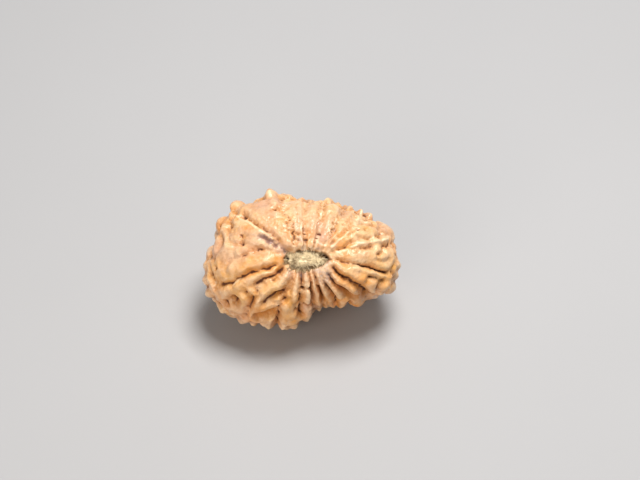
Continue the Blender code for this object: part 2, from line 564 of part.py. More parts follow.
def relief(points):
    """The height of the seed's surface over each point of its smooth form."""
    total = np.zeros(len(points))
    cut = np.zeros(len(points))
    rng = np.random.default_rng(SEED)
    fingers, seams = far_fingers(rng)
    hidden = smooth_step(2.0, -2.0, points[:, 2])
    warp = FRONT_WARP + (BACK_WARP - FRONT_WARP) * hidden
    knobble = FRONT_KNOBBLE + (BACK_KNOBBLE - FRONT_KNOBBLE) * hidden
    warped = points + warp[:, None] * ripples(points, WARP_SCALE, SEED)
    crooked = warped + CROOKEDNESS * ripples(points, CROOK_SCALE, SEED + 3)
    for start, end, height, crest in FOLDS:
        raise_fold(total, warped, curve_through(face_points(crest), 3), (start, end), height)
    for line, widths, height in fingers + rim_lobes(rng) + rim_knobs(rng):
        raise_fold(total, warped, curve_through(line, 3), widths, height)
    for width, depth, line in FURROWS:
        cut_furrow(cut, crooked, curve_through(face_points(line), 3), width, depth)
    for line in seams:
        cut_furrow(cut, crooked, curve_through(line, 3), SEAM_HALF_WIDTH, SEAM_DEPTH)
    for x, y, radius, depth in PITS:
        gap = np.linalg.norm(crooked - face_points([(x, y)])[0], axis=1)
        cut = np.maximum(cut, depth * np.clip(1.0 - (gap / radius) ** 2, 0.0, None) ** PIT_POWER)
    total += (SKIN_RISE * np.abs(ripple(points, SKIN_SCALE, SEED + 7)) ** 0.7) ** MEETING_POWER
    slit = slit_depth(crooked + SLIT_RAGGEDNESS * ripples(points, 0.9, SEED + 14))
    height = total ** (1 / MEETING_POWER) * (1.0 + knobble * ripple(points, KNOBBLE_SCALE, SEED + 8))
    height = height * pole_calm(points)
    return height * np.clip(1.0 - slit / 0.6, 0.0, 1.0) - cut * np.clip(1.0 - slit, 0.0, 1.0) - slit


def laid_down(points):
    """Turns points from the seed's own axes to how it lies."""
    x, y, z = points.T
    sine, cosine = math.sin(SCAR_TILT), math.cos(SCAR_TILT)
    return np.stack([x, y * sine - z * cosine, y * cosine + z * sine], axis=-1)


def ball(name, subdivisions):
    """A mesh of the unit ball, in even triangles."""
    shape = bmesh.new()
    bmesh.ops.create_icosphere(shape, subdivisions=subdivisions, radius=1.0)
    mesh = bpy.data.meshes.new(name)
    shape.to_mesh(mesh)
    shape.free()
    return mesh


def read_points(mesh):
    points = np.empty(len(mesh.vertices) * 3)
    mesh.vertices.foreach_get("co", points)
    return points.reshape(-1, 3)


def read_normals(mesh):
    normals = np.empty(len(mesh.vertices) * 3)
    mesh.vertices.foreach_get("normal", normals)
    return normals.reshape(-1, 3)


def move_points(mesh, points):
    mesh.vertices.foreach_set("co", points.ravel())
    mesh.update()


def stone_mesh(subdivisions):
    """The stone in its own axes, in millimetres, at full detail."""
    mesh = ball("stone", subdivisions)
    unit = read_points(mesh)
    azimuth = np.arctan2(unit[:, 1], unit[:, 0])
    form = form_points(azimuth, np.arccos(np.clip(unit[:, 2], -1.0, 1.0)))
    move_points(mesh, form)
    move_points(mesh, form + read_normals(mesh) * relief(form)[:, None])
    return mesh


def pith_mesh(subdivisions):
    """The plug of stalk fibres in the slit, in the seed's own axes, in millimetres."""
    mesh = ball("pith", subdivisions)
    unit = read_points(mesh)
    plug = unit * PITH_HALF_SIZE + PITH_CENTRE
    strands = ripple(plug * (0.35, 1.0, 0.6), PITH_STRAND_SCALE, SEED + 11)
    crumbs = ripple(plug, PITH_CRUMB_SCALE, SEED + 12)
    rough = (0.6 * np.abs(strands) + 0.4 * np.abs(crumbs) - 0.6) * PITH_ROUGHNESS
    move_points(mesh, plug + unit * rough[:, None])
    return mesh


def seat_place(mesh):
    """The middle of the stone's seat, with its lowest knobs sunk by the seat's depth."""
    lying = laid_down(read_points(mesh))
    low, high = lying.min(axis=0), lying.max(axis=0)
    return np.array([(low[0] + high[0]) / 2, (low[1] + high[1]) / 2, low[2] + SEAT_DEPTH])


def piece(home, name, mesh, seat, look):
    """Lays a mesh down on its seat and makes it an object, in metres."""
    move_points(mesh, (laid_down(read_points(mesh)) - seat) * MM)
    mesh.shade_smooth()
    mesh.materials.append(look)
    made = bpy.data.objects.new(name, mesh)
    home.objects.link(made)
    return made


def thin_out(made, triangles):
    thin = made.modifiers.new("fewer_triangles", "DECIMATE")
    thin.ratio = triangles / len(made.data.polygons)


def soften(made):
    """Rounds the sharp teeth that steep fold sides get."""
    smooth = made.modifiers.new("soften", "SMOOTH")
    smooth.factor = 0.5
    smooth.iterations = 2


def cut_seat(home, stone):
    """Cuts the stone's lowest knobs off flat at the height of the surface that it lies on."""
    block = bmesh.new()
    bmesh.ops.create_cube(block, size=CUTTER_SIZE * MM)
    bmesh.ops.translate(block, verts=block.verts, vec=(0.0, 0.0, -CUTTER_SIZE * MM / 2))
    mesh = bpy.data.meshes.new("seat_cutter")
    block.to_mesh(mesh)
    block.free()
    cutter = bpy.data.objects.new("seat_cutter", mesh)
    home.objects.link(cutter)
    cutter.hide_render = True
    cutter.display_type = "WIRE"
    cut = stone.modifiers.new("flat_seat", "BOOLEAN")
    cut.operation = "DIFFERENCE"
    cut.object = cutter


def main():
    clear_scene()
    parts = collection("rudraksha_seed_parts")
    cutters = collection("cutters")
    shape = stone_mesh(7)
    seat = seat_place(shape)
    wood = material("woody_stone", (0.62, 0.36, 0.18), 0.5)
    stone = piece(parts, "rudraksha_seed", shape, seat, wood)
    soften(stone)
    thin_out(stone, STONE_TRIANGLES)
    cut_seat(cutters, stone)
    dry = material("dry_pith", (0.83, 0.76, 0.52), 0.9)
    pith = piece(parts, "pith_fibres", pith_mesh(5), seat, dry)
    thin_out(pith, PITH_TRIANGLES)


if __name__ == "__main__":
    main()
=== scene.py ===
"""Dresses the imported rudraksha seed: its stone in fine relief, its pith as loose fibres, and a stage.

Places on the scar's side are in millimetres as seen square to it: x to the right along the seed,
y up across it, from the middle of the scar. Folds behind the rim are drawn by a seeded rule.
"""

import math

import bmesh
import bpy
import numpy as np
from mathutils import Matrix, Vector


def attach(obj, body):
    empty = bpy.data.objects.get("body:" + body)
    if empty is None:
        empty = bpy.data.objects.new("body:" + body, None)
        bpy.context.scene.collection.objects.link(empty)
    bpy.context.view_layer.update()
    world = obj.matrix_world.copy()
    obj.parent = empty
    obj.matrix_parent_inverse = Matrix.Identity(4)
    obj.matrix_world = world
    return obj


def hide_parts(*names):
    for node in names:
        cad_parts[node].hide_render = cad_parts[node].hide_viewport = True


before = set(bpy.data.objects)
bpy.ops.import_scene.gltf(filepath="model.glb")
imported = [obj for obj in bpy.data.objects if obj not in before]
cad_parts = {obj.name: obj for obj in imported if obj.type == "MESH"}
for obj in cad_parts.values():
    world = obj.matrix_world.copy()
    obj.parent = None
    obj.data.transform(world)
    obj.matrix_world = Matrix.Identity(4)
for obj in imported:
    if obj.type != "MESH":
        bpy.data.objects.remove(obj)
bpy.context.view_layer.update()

bl_info = {
    "name": "Rudraksha Seed",
    "version": (1, 0, 0),
    "blender": (4, 5, 0),
    "location": "3D View > Sidebar > Seed",
    "description": "Builds a many-faced fruit stone with its pith, and a plain stage for it",
    "category": "Object",
}

MM = 0.001

# The smooth form under the folds. The radii are from the scar's middle to the rim, every 20 degrees.
RIM_RADII = (
    15.2, 14.1, 11.25, 10.1, 9.5, 9.6, 11.7, 13.8, 15.2,
    16.3, 17.1, 14.9, 12.3, 10.5, 8.25, 8.4, 11.0, 14.8,
)
FAR_HALF_LENGTH = 14.8
FAR_HALF_WIDTH = 10.6
FRONT_DEPTH = 10.0
BACK_DEPTH = 10.4
BACK_SHOULDER = 0.08
FORM_POWER = 2.2
RIM_RISE = 0.07

# How it lies: the scar looks up at this angle above the horizon, and the lowest knobs are worn flat.
SCAR_TILT = math.radians(48)
SEAT_DEPTH = 0.8

# The slit of the scar, and the dip round it
SLIT_CENTRE = (0.1, 0.0)
SLIT_HALF_LENGTH = 4.25
SLIT_UPPER = 1.3
SLIT_LOWER = 1.75
SLIT_SKEW = 0.35
SLIT_DEPTH = 2.2
SLIT_RAGGEDNESS = 0.1
SCAR_DIP = 0.5
SCAR_DIP_RADIUS = 4.5

# How much lower folds are where they start at the slit, and how far out they reach full height,
# as shares of the slit's half-sizes
SCAR_CALM = 0.5
CALM_FROM = 0.9
CALM_TO = 1.9

# The same round the far pole, as shares of the far half-sizes
FAR_CALM = 0.6
FAR_CALM_FROM = 0.15
FAR_CALM_TO = 0.65

# The pith in the slit, in the seed's own axes
PITH_CENTRE = (-0.2, -0.18, 9.14)
PITH_HALF_SIZE = (2.6, 0.74, 0.8)
PITH_STRAND_SCALE = 0.9
PITH_CRUMB_SCALE = 0.6
PITH_ROUGHNESS = 0.14

# How folds swell and meet, and the skin between them
FOLD_POWER = 0.55
MEETING_POWER = 7.0
SKIN_RISE = 0.45
SKIN_SCALE = 2.4
FRONT_KNOBBLE = 0.07
BACK_KNOBBLE = 0.12
KNOBBLE_SCALE = 2.2
WARP_SCALE = 2.5
FRONT_WARP = 0.05
BACK_WARP = 0.16
CROOKEDNESS = 0.08
CROOK_SCALE = 1.3
FURROW_REACH = 2.6
FURROW_CORE = 0.5
FURROW_CORE_WIDTH = 1.4
PIT_POWER = 1.5

# The folds that are drawn by rule: lanes that leave a short slit at the far pole, rows of knobs
# behind the rim, and the seams between lanes. The rim's own knobs stand at the lobes' fall. Each
# kind of noise adds a number of its own to the seed.
SEED = 21
LANES = 20
BACK_FOCUS = 1.6
RIM_ROWS = (1.95, 2.18)
RIM_KNOBS = 26
LOBE_FALL = 1.6
SEAM_HALF_WIDTH = 0.4
SEAM_DEPTH = 0.7

# Steps from each point of a drawn line to the next
CURVE_STEPS = 3

# The fine mesh: cuts along each side of the cube it starts from, how much finer it is near the
# scar, how many small pits are strewn over it, and how uneven the edges of pits and stains are
STONE_CUTS = 127
SCAR_SIDE_FINENESS = 1.3
STREWN_PITS = 130
PIT_UNEVENNESS = 0.12

# How many times the relief and then the skin are smoothed, and how many times more to find what
# lies lower than its near and its far surroundings
RELIEF_SMOOTHING = 4
SKIN_SMOOTHING = 1
NEAR_SMOOTHING = 10
FAR_SMOOTHING = 90

# The depth in the slit at which the skin's fine relief has faded out, in millimetres
SKIN_FADE = 0.3

# The streaks along the folds: half-length of the slit that they leave, their frame's
# radius and rise, and how wavy they are
STREAK_FOCUS = 3.2
STREAK_SPREAD = 8.0
STREAK_LENGTH = 3.0
STREAK_WAVE = 0.16

# The lowest that torn fibres lie at the slit, in the seed's own axes
LIP_LOWEST = 9.7

# How far the loose fibres spread over the slit, as a share of the mat's half-sizes, and the least
# and greatest length of a fibre, half-length of a torn fibre and radius of a crumb
MAT_SPREAD = (1.36, 1.8, 1.0)
FIBRE_LENGTHS = (0.2, 0.85)
TORN_HALVES = (0.12, 0.38)
CRUMB_RADII = (0.06, 0.17)

# How fine the mottles of each material are, in clouds to a metre, and their bumps as a multiple
WIDE_MOTTLE = 330.0
CLOSE_MOTTLE = 1100.0
SPECK_MOTTLE = 260.0
LUMP_MOTTLE = 150.0
PITH_MOTTLE = 1500.0
FLOOR_MOTTLE = 14.0
BUMP_FINENESS = 7.0

# The finish of each material: roughness, share of sheen, and the height in metres and strength of
# its bumps
STONE_DULLNESS = (0.29, 0.74)
STONE_SHEEN = 0.45
STONE_BUMP = (0.0003, 0.55)
FIBRE_DULLNESS = 0.85
FIBRE_SHEEN = 0.3
FIBRE_BUMP = (0.00008, 0.7)
FLOOR_DULLNESS = 0.7

# The stage, in metres: half the floor's width, the lights' places and sizes, the fill's strength as
# a share of the key's, and what both look at
FLOOR_REACH = 1.5
KEY_PLACE = (0.06, 0.05, 0.36)
KEY_SIZE = 0.16
KEY_COLOUR = (1.0, 0.98, 0.95)
FILL_PLACE = (-0.2, -0.32, 0.16)
FILL_SIZE = 0.3
FILL_COLOUR = (1.0, 0.92, 0.82)
FILL_SHARE = 0.5
SKY_COLOUR = (0.95, 0.97, 1.0, 1.0)
LIGHT_AIM = (0.0, 0.0, 0.011)

# From the scar to the middle of the picture, right and up, in millimetres
SCAR_FROM_MIDDLE = (2.29, 3.25)

# Folds on the scar's side: half-width at the start, half-width at the end, height, crest
FOLDS = (
    # low swellings that the finer folds stand on
    (2.6, 2.6, 0.75, ((-1.9, 6.6), (1.2, 6.4), (4.3, 5.9), (7.0, 4.9))),
    (1.6, 1.6, 0.65, ((-1.2, 3.6), (1.0, 3.6), (3.2, 3.4), (5.2, 2.7))),
    (2.6, 2.6, 0.75, ((-9.6, 4.0), (-12.6, 3.4), (-13.9, 0.4), (-14.4, -2.4))),
    (2.0, 2.0, 0.7, ((7.0, 0.6), (9.5, 1.6), (12.0, 1.6))),
    (2.2, 2.2, 0.6, ((-9.6, 8.0), (-6.6, 7.8))),
    (1.4, 1.4, 0.6, ((-8.2, -4.8), (-10.4, -4.6))),
    (1.3, 1.7, 0.7, ((-4.8, 3.4), (-7.2, 4.9), (-10.0, 6.4))),
    (1.0, 1.4, 0.7, ((6.2, 2.3), (9.0, 3.3), (12.0, 3.7))),
    # broad facets above the scar
    (0.7, 1.4, 1.15, ((-1.3, 2.3), (-1.55, 4.4), (-1.8, 6.6), (-1.8, 9.2))),
    (1.15, 1.15, 1.0, ((-1.8, 8.3), (-1.75, 9.3))),
    (0.6, 1.35, 1.1, ((0.6, 1.9), (0.85, 4.0), (1.1, 6.5), (1.4, 9.1))),
    (1.2, 1.25, 1.0, ((1.25, 8.2), (1.4, 9.2))),
    (0.5, 1.35, 1.1, ((2.3, 2.0), (3.0, 4.2), (3.8, 6.3), (4.7, 8.6))),
    (1.2, 1.25, 1.05, ((4.4, 7.8), (4.7, 8.6))),
    (0.45, 1.15, 1.05, ((3.6, 1.9), (5.0, 3.8), (6.5, 5.8), (7.8, 7.6))),
    (0.9, 0.9, 1.0, ((7.1, 6.9), (7.6, 7.5))),
    (0.45, 1.0, 1.05, ((4.7, 1.6), (6.4, 2.7), (8.0, 3.8), (9.4, 4.9))),
    (0.8, 1.9, 1.2, ((4.8, 0.3), (7.5, 0.5), (10.5, 0.9), (13.4, 0.6))),
    # narrow ridges of the facets' feet
    (0.3, 0.5, 1.2, ((-1.9, 1.2), (-2.6, 3.2), (-3.0, 4.9))),
    (0.3, 0.45, 1.2, ((-0.7, 1.4), (-0.85, 3.2), (-1.0, 5.7))),
    (0.25, 0.45, 1.15, ((0.15, 1.4), (0.25, 2.8), (0.3, 3.8))),
    (0.25, 0.45, 1.2, ((0.85, 1.4), (1.35, 3.4), (1.8, 6.1))),
    (0.25, 0.4, 1.15, ((1.5, 1.3), (2.1, 2.8), (2.4, 3.6))),
    (0.25, 0.4, 1.2, ((2.2, 1.2), (3.3, 3.1), (4.2, 5.3))),
    (0.25, 0.4, 1.15, ((2.8, 1.0), (4.2, 2.8), (4.9, 3.7))),
    (0.25, 0.4, 1.15, ((3.4, 0.8), (5.3, 2.7), (7.1, 4.2))),
    # upper left
    (0.8, 1.6, 1.0, ((-3.2, 2.7), (-4.2, 4.5), (-5.6, 5.9), (-7.4, 6.7), (-9.1, 7.5))),
    (1.1, 0.9, 1.25, ((-9.9, 8.0), (-11.2, 8.3))),
    (0.7, 1.3, 0.9, ((-3.3, 4.6), (-4.6, 6.4), (-5.8, 7.4))),
    (1.1, 0.7, 1.0, ((-12.4, 8.7), (-10.6, 9.0), (-8.6, 9.2), (-7.1, 9.8))),
    (0.8, 0.85, 1.95, ((-6.8, 11.3), (-6.5, 10.4))),
    (0.8, 0.9, 1.2, ((-6.4, 10.5), (-5.9, 9.6), (-5.3, 8.9))),
    (1.5, 1.5, 0.8, ((-8.6, 8.4), (-6.6, 8.6))),
    (0.35, 0.7, 0.85, ((-5.2, 3.1), (-7.2, 4.6), (-9.2, 5.9), (-11.4, 7.1))),
    (0.6, 1.7, 1.1, ((-5.6, 2.7), (-7.4, 3.9), (-9.4, 4.5), (-11.2, 5.3), (-12.6, 5.8))),
    (0.45, 0.8, 1.05, ((-4.5, 1.3), (-5.6, 2.0), (-7.0, 2.5), (-8.6, 2.95), (-10.2, 3.1))),
    (1.0, 1.0, 1.1, ((-11.4, 4.1), (-12.3, 3.6))),
    (0.9, 0.9, 1.1, ((-10.6, 1.7), (-11.6, 1.3))),
    (0.5, 0.5, 0.8, ((-5.0, 0.95), (-7.0, 0.95), (-9.4, 0.75))),
    (0.9, 0.9, 1.3, ((-14.6, 6.7), (-13.7, 7.2))),
    # left end
    (0.9, 1.45, 1.6, ((-4.2, -0.1), (-6.3, -0.4), (-8.8, -0.9), (-11.0, -1.6), (-11.9, -1.9))),
    (1.1, 1.1, 1.3, ((-12.0, -1.9), (-12.1, -2.9))),
    (1.4, 1.4, 1.3, ((-13.6, 1.4), (-14.4, 0.2), (-14.8, -1.0))),
    (1.4, 1.4, 1.2, ((-14.7, -2.2), (-13.8, -3.1))),
    (0.9, 0.9, 1.2, ((-14.5, 5.9), (-14.5, 4.7))),
    (0.6, 0.6, 1.3, ((-14.2, 5.6), (-13.8, 3.4), (-13.6, 2.0))),
    (1.0, 1.0, 1.2, ((-15.4, 3.0), (-15.8, 1.4))),
    (0.5, 0.6, 1.1, ((-16.6, -0.4), (-16.1, -1.4), (-15.9, -2.4), (-15.5, -3.3))),
    (0.7, 0.8, 1.2, ((-17.0, -0.9), (-16.9, -2.1), (-17.0, -3.4), (-16.3, -4.4), (-16.2, -5.5))),
    # lower left
    (0.55, 1.15, 1.3, ((-5.4, -1.5), (-6.4, -2.2), (-7.95, -2.7), (-9.3, -3.2), (-11.4, -4.4))),
    (0.6, 0.7, 1.25, ((-11.9, -4.9), (-13.0, -4.7), (-13.8, -5.0), (-14.6, -5.6))),
    (0.35, 0.45, 0.9, ((-4.8, -2.8), (-5.9, -3.5), (-6.9, -3.6))),
    (0.7, 0.95, 1.7, (
        (-2.9, -1.5), (-3.7, -3.2), (-4.8, -4.3), (-5.8, -4.6), (-6.7, -5.4),
        (-7.7, -6.4), (-8.6, -7.6), (-9.5, -8.7), (-10.6, -9.8), (-11.1, -10.5),
    )),
    (0.75, 0.75, 1.5, ((-8.2, -8.1), (-7.0, -7.6), (-5.6, -7.1), (-4.9, -6.6))),
    (0.6, 0.6, 1.6, ((-9.4, -9.9), (-7.6, -10.0), (-5.8, -9.7))),
    (0.85, 0.85, 1.3, ((-7.6, -11.1), (-6.6, -11.5))),
    (0.65, 0.8, 1.2, (
        (-14.8, -7.2), (-14.2, -6.0), (-13.1, -5.4), (-11.9, -5.6), (-11.0, -6.3),
        (-10.7, -7.4), (-11.2, -8.5), (-12.4, -8.6), (-13.6, -8.4),
    )),
    (0.6, 0.5, 1.1, ((-9.8, -4.9), (-9.0, -5.5), (-8.7, -6.4))),
    (0.5, 0.5, 1.0, ((-10.7, -7.7), (-10.0, -7.3), (-9.2, -7.0))),
    (1.0, 1.0, 1.1, ((-11.6, -9.6), (-13.0, -9.2))),
    (0.9, 0.9, 1.1, ((-15.0, -6.6), (-15.4, -5.6))),
    # fingers below the scar
    (0.7, 0.7, 0.95, ((-2.4, -2.4), (-2.9, -4.2))),
    (0.4, 0.65, 1.5, ((-1.5, -1.9), (-1.85, -4.4), (-2.15, -5.6), (-2.15, -6.4))),
    (0.6, 0.8, 1.2, ((-3.3, -5.9), (-3.4, -7.0))),
    (1.0, 1.25, 1.5, ((-3.2, -7.4), (-3.5, -8.6), (-3.2, -9.6), (-2.9, -10.7))),
    (0.75, 0.75, 1.3, ((-4.4, -9.0), (-4.2, -11.1))),
    (0.7, 0.7, 1.3, ((-2.4, -9.2), (-2.4, -11.1))),
    (0.35, 0.5, 1.5, ((-0.3, -2.0), (-0.2, -4.1))),
    (0.42, 0.55, 1.5, ((-0.2, -5.2), (-0.2, -6.9))),
    (0.75, 0.6, 1.5, ((-0.2, -8.3), (-0.4, -9.3), (-0.6, -10.4))),
    (0.35, 0.55, 1.45, ((0.7, -2.0), (1.15, -4.15), (1.5, -5.6), (1.75, -6.9))),
    (0.65, 0.6, 0.9, ((1.9, -7.4), (2.1, -8.2))),
    (0.38, 0.75, 1.35, ((1.7, -1.8), (2.6, -3.75), (3.35, -5.3), (4.0, -6.4))),
    (0.65, 0.65, 1.0, ((4.1, -6.9), (4.4, -7.7))),
    (0.5, 0.5, 1.3, ((3.1, -6.9), (3.7, -8.0))),
    (0.38, 0.75, 1.4, ((2.6, -1.6), (3.9, -3.6), (5.2, -4.8), (6.0, -5.8))),
    (0.9, 0.75, 1.4, ((6.8, -6.5), (6.6, -7.4))),
    (0.95, 0.85, 1.35, ((8.2, -6.5), (9.0, -6.8), (9.3, -7.1))),
    # right end
    (0.35, 0.75, 1.5, ((3.3, -1.2), (5.1, -3.1), (6.5, -3.9), (7.8, -4.7), (9.3, -5.2))),
    (0.4, 1.1, 1.5, ((3.8, -0.5), (5.5, -1.3), (6.7, -2.0), (7.8, -2.8), (9.3, -3.2))),
    (0.5, 0.7, 1.3, ((7.4, -1.4), (8.6, -1.7), (10.2, -2.2), (11.5, -2.6), (13.0, -3.1), (14.5, -2.95))),
    (1.1, 1.0, 1.3, ((11.1, -4.1), (11.5, -5.0))),
    (0.95, 0.9, 1.3, ((13.3, -4.5), (14.0, -4.2))),
    (0.6, 0.6, 1.2, (
        (11.5, -0.8), (12.6, -1.2), (13.6, -1.3), (14.4, -1.0),
        (14.7, -0.2), (14.6, 1.0), (14.4, 2.0),
    )),
    (0.5, 0.5, 1.1, ((15.2, 0.3), (15.3, -1.0), (15.2, -2.3))),
    (0.7, 0.9, 0.85, ((7.9, 5.3), (8.8, 6.4), (9.5, 7.2))),
    (0.9, 0.9, 0.95, ((9.3, 5.2), (10.4, 5.0), (11.6, 4.7))),
    (0.9, 0.9, 1.1, ((11.6, 3.9), (12.9, 3.5), (13.9, 2.9))),
    (0.8, 0.8, 0.95, ((9.2, 4.0), (10.8, 3.7))),
    (0.6, 0.75, 1.0, ((7.4, 1.95), (8.9, 2.5), (10.4, 2.75), (12.2, 3.1), (13.8, 3.3))),
    (0.8, 0.8, 1.0, ((9.6, 1.4), (11.2, 1.2), (12.4, 1.6))),
    (0.6, 0.6, 1.1, ((11.2, 0.2), (12.4, 0.4), (13.4, 0.8))),
)

# Knobs across the rim, in the order of the outline: azimuth in degrees, half-width, height
LOBES = (
    (10, 1.1, 1.0),
    (20, 1.1, 1.35),
    (32.5, 0.6, 1.6),
    (38, 0.6, 1.5),
    (47.5, 0.85, 1.4),
    (64, 1.25, 1.55),
    (82, 1.25, 1.05),
    (99, 1.15, 1.4),
    (109.5, 0.75, 1.5),
    (115, 0.8, 1.9),
    (126, 0.75, 0.4),
    (144.5, 1.1, 2.0),
    (158.5, 1.15, 1.75),
    (177, 1.1, 1.2),
    (186, 1.15, 1.55),
    (192.5, 0.8, 1.45),
    (198.5, 0.65, 1.35),
    (207.5, 0.75, 1.45),
    (216, 0.95, 1.1),
    (227, 0.65, 1.4),
    (240, 0.8, 1.5),
    (250.5, 0.75, 1.8),
    (258, 0.8, 1.75),
    (268, 0.65, 1.2),
    (283.5, 0.6, 1.15),
    (298, 0.75, 1.7),
    (310, 0.85, 1.2),
    (321, 1.0, 1.25),
    (330, 0.8, 0.4),
    (342, 1.0, 1.2),
    (353.5, 1.2, 1.15),
)

# Furrows on the scar's side: half-width, depth, line
FURROWS = (
    (0.26, 0.45, ((-10.2, 6.7), (-9.1, 6.0), (-8.15, 5.4), (-7.1, 4.9), (-5.7, 4.0), (-4.7, 3.2))),
    (0.3, 0.5, ((-7.7, 3.6), (-6.3, 3.0), (-4.9, 2.2), (-3.6, 1.35))),
    (0.28, 0.9, ((-5.1, -1.0), (-6.4, -1.4), (-7.75, -1.75), (-9.2, -2.3), (-10.6, -2.8), (-11.85, -3.3))),
    (0.28, 0.8, ((-12.3, -3.9), (-13.6, -4.25), (-14.5, -4.45))),
    (0.28, 0.8, ((-4.15, -1.75), (-4.7, -2.3), (-5.7, -2.8), (-6.4, -3.0), (-7.55, -3.4), (-8.25, -3.9))),
    (0.24, 0.5, ((-4.9, -3.0), (-6.1, -4.0))),
    (0.3, 0.85, ((-7.4, -7.0), (-6.6, -6.3), (-5.4, -5.9), (-4.5, -5.5), (-3.9, -5.4))),
    (0.28, 0.5, ((-6.9, -6.95), (-5.2, -6.75))),
    (0.4, 1.2, ((-8.8, -9.3), (-7.2, -9.35), (-5.8, -9.0))),
    (0.34, 1.1, ((-9.2, -6.6), (-9.7, -8.0), (-10.7, -9.5))),
    (0.46, 1.25, ((-4.8, -8.5), (-5.2, -10.1), (-5.2, -11.3))),
    (0.34, 0.75, ((-8.9, -6.5), (-8.05, -6.1))),
    (0.34, 0.75, ((-10.8, -8.25), (-9.5, -7.8))),
    (0.3, 0.6, ((-13.7, 7.0), (-13.3, 6.2), (-13.1, 5.2))),
    (0.26, 0.4, ((7.2, -1.0), (9.0, -1.0), (11.0, -1.35))),
    (0.28, 0.75, ((11.0, -1.35), (12.2, -1.9), (13.1, -2.3), (15.0, -2.6))),
    (0.26, 0.35, ((5.1, -0.35), (7.2, -0.6))),
    (0.32, 1.05, (
        (4.7, -1.5), (5.2, -2.3), (6.25, -2.85), (7.4, -3.35),
        (8.5, -3.9), (9.8, -4.8), (10.7, -6.0),
    )),
    (0.32, 0.95, ((3.9, -2.3), (4.5, -3.6), (5.2, -4.15), (6.4, -4.8), (8.2, -6.0), (9.7, -5.7))),
    (0.57, 1.5, ((9.4, -4.7), (10.1, -5.4), (10.7, -6.2))),
    (0.34, 1.0, ((7.5, -6.7), (7.8, -7.7))),
    (0.3, 0.8, ((5.4, -7.4), (5.5, -8.3))),
    (0.24, 0.45, ((3.4, -3.75), (3.75, -4.5), (4.3, -5.4), (5.0, -6.6), (5.2, -7.6))),
    (0.22, 0.7, ((2.05, -4.3), (2.35, -5.1), (2.6, -5.85), (2.9, -6.9), (3.1, -7.8))),
    (0.22, 0.7, ((0.5, -3.75), (0.5, -5.1), (0.6, -6.4), (0.8, -7.4))),
    (0.3, 0.85, ((-1.2, -5.9), (-1.2, -7.7), (-1.35, -9.3))),
    (0.34, 0.75, ((5.2, -6.5), (6.4, -6.25))),
    (0.4, 1.25, ((12.3, -4.6), (12.3, -5.9))),
    (0.34, 0.75, ((10.9, -3.0), (12.0, -3.2), (13.2, -3.7))),
    (0.3, 0.35, ((5.2, 1.5), (7.9, 2.9))),
    (0.3, 0.5, ((8.8, 3.5), (10.6, 3.3))),
    (0.34, 0.75, ((9.4, 1.75), (10.3, 1.65), (11.1, 2.05))),
    (0.34, 0.75, ((12.0, 0.7), (12.9, 1.05), (13.1, 1.9))),
    (0.34, 0.88, ((13.5, 1.95), (14.4, 2.4))),
    (0.24, 0.4, ((11.8, -0.3), (13.4, -0.3), (13.9, 0.15))),
    (0.34, 0.88, ((13.1, 4.9), (13.25, 4.1), (11.9, 3.65))),
    (0.34, 0.75, ((9.9, 5.9), (10.9, 5.8))),
)

# Pits on the scar's side: x, y, radius, depth
PITS = (
    (-10.8, 7.3, 1.0, 0.9),
    (-11.85, 6.6, 0.5, 0.4),
    (-5.6, 8.0, 0.4, 0.6),
    (-4.5, 7.7, 0.35, 0.6),
    (-4.2, 8.9, 0.3, 0.5),
    (-9.0, 1.3, 0.8, 0.4),
    (-8.2, 1.45, 0.85, 0.5),
    (-7.5, 1.55, 0.6, 0.35),
    (-11.1, 2.6, 0.6, 0.45),
    (-9.6, 5.1, 0.7, 0.25),
    (-10.4, 5.0, 0.7, 0.25),
    (-15.3, -1.75, 0.4, 0.8),
    (-13.75, -7.75, 0.4, 0.9),
    (-14.0, -7.1, 0.35, 0.7),
    (-12.4, -7.0, 1.1, 0.9),
    (-10.2, -5.55, 0.35, 0.6),
    (-8.3, -4.0, 0.5, 0.7),
    (-1.6, 4.0, 0.35, 0.6),
    (-1.5, 3.0, 0.3, 0.5),
    (-2.0, 7.2, 0.5, 0.3),
    (3.9, 7.45, 0.45, 0.4),
    (6.1, 5.45, 0.4, 0.4),
    (8.7, 4.6, 0.35, 0.6),
    (10.0, 4.65, 0.35, 0.5),
    (8.4, 1.0, 0.3, 0.35),
    (-0.8, -4.8, 0.35, 0.7),
    (-2.3, -8.3, 0.4, 0.7),
    (-3.6, -10.9, 0.6, 0.5),
    (-3.9, -6.5, 0.9, 0.9),
    (-5.4, 8.5, 0.8, 0.5),
)

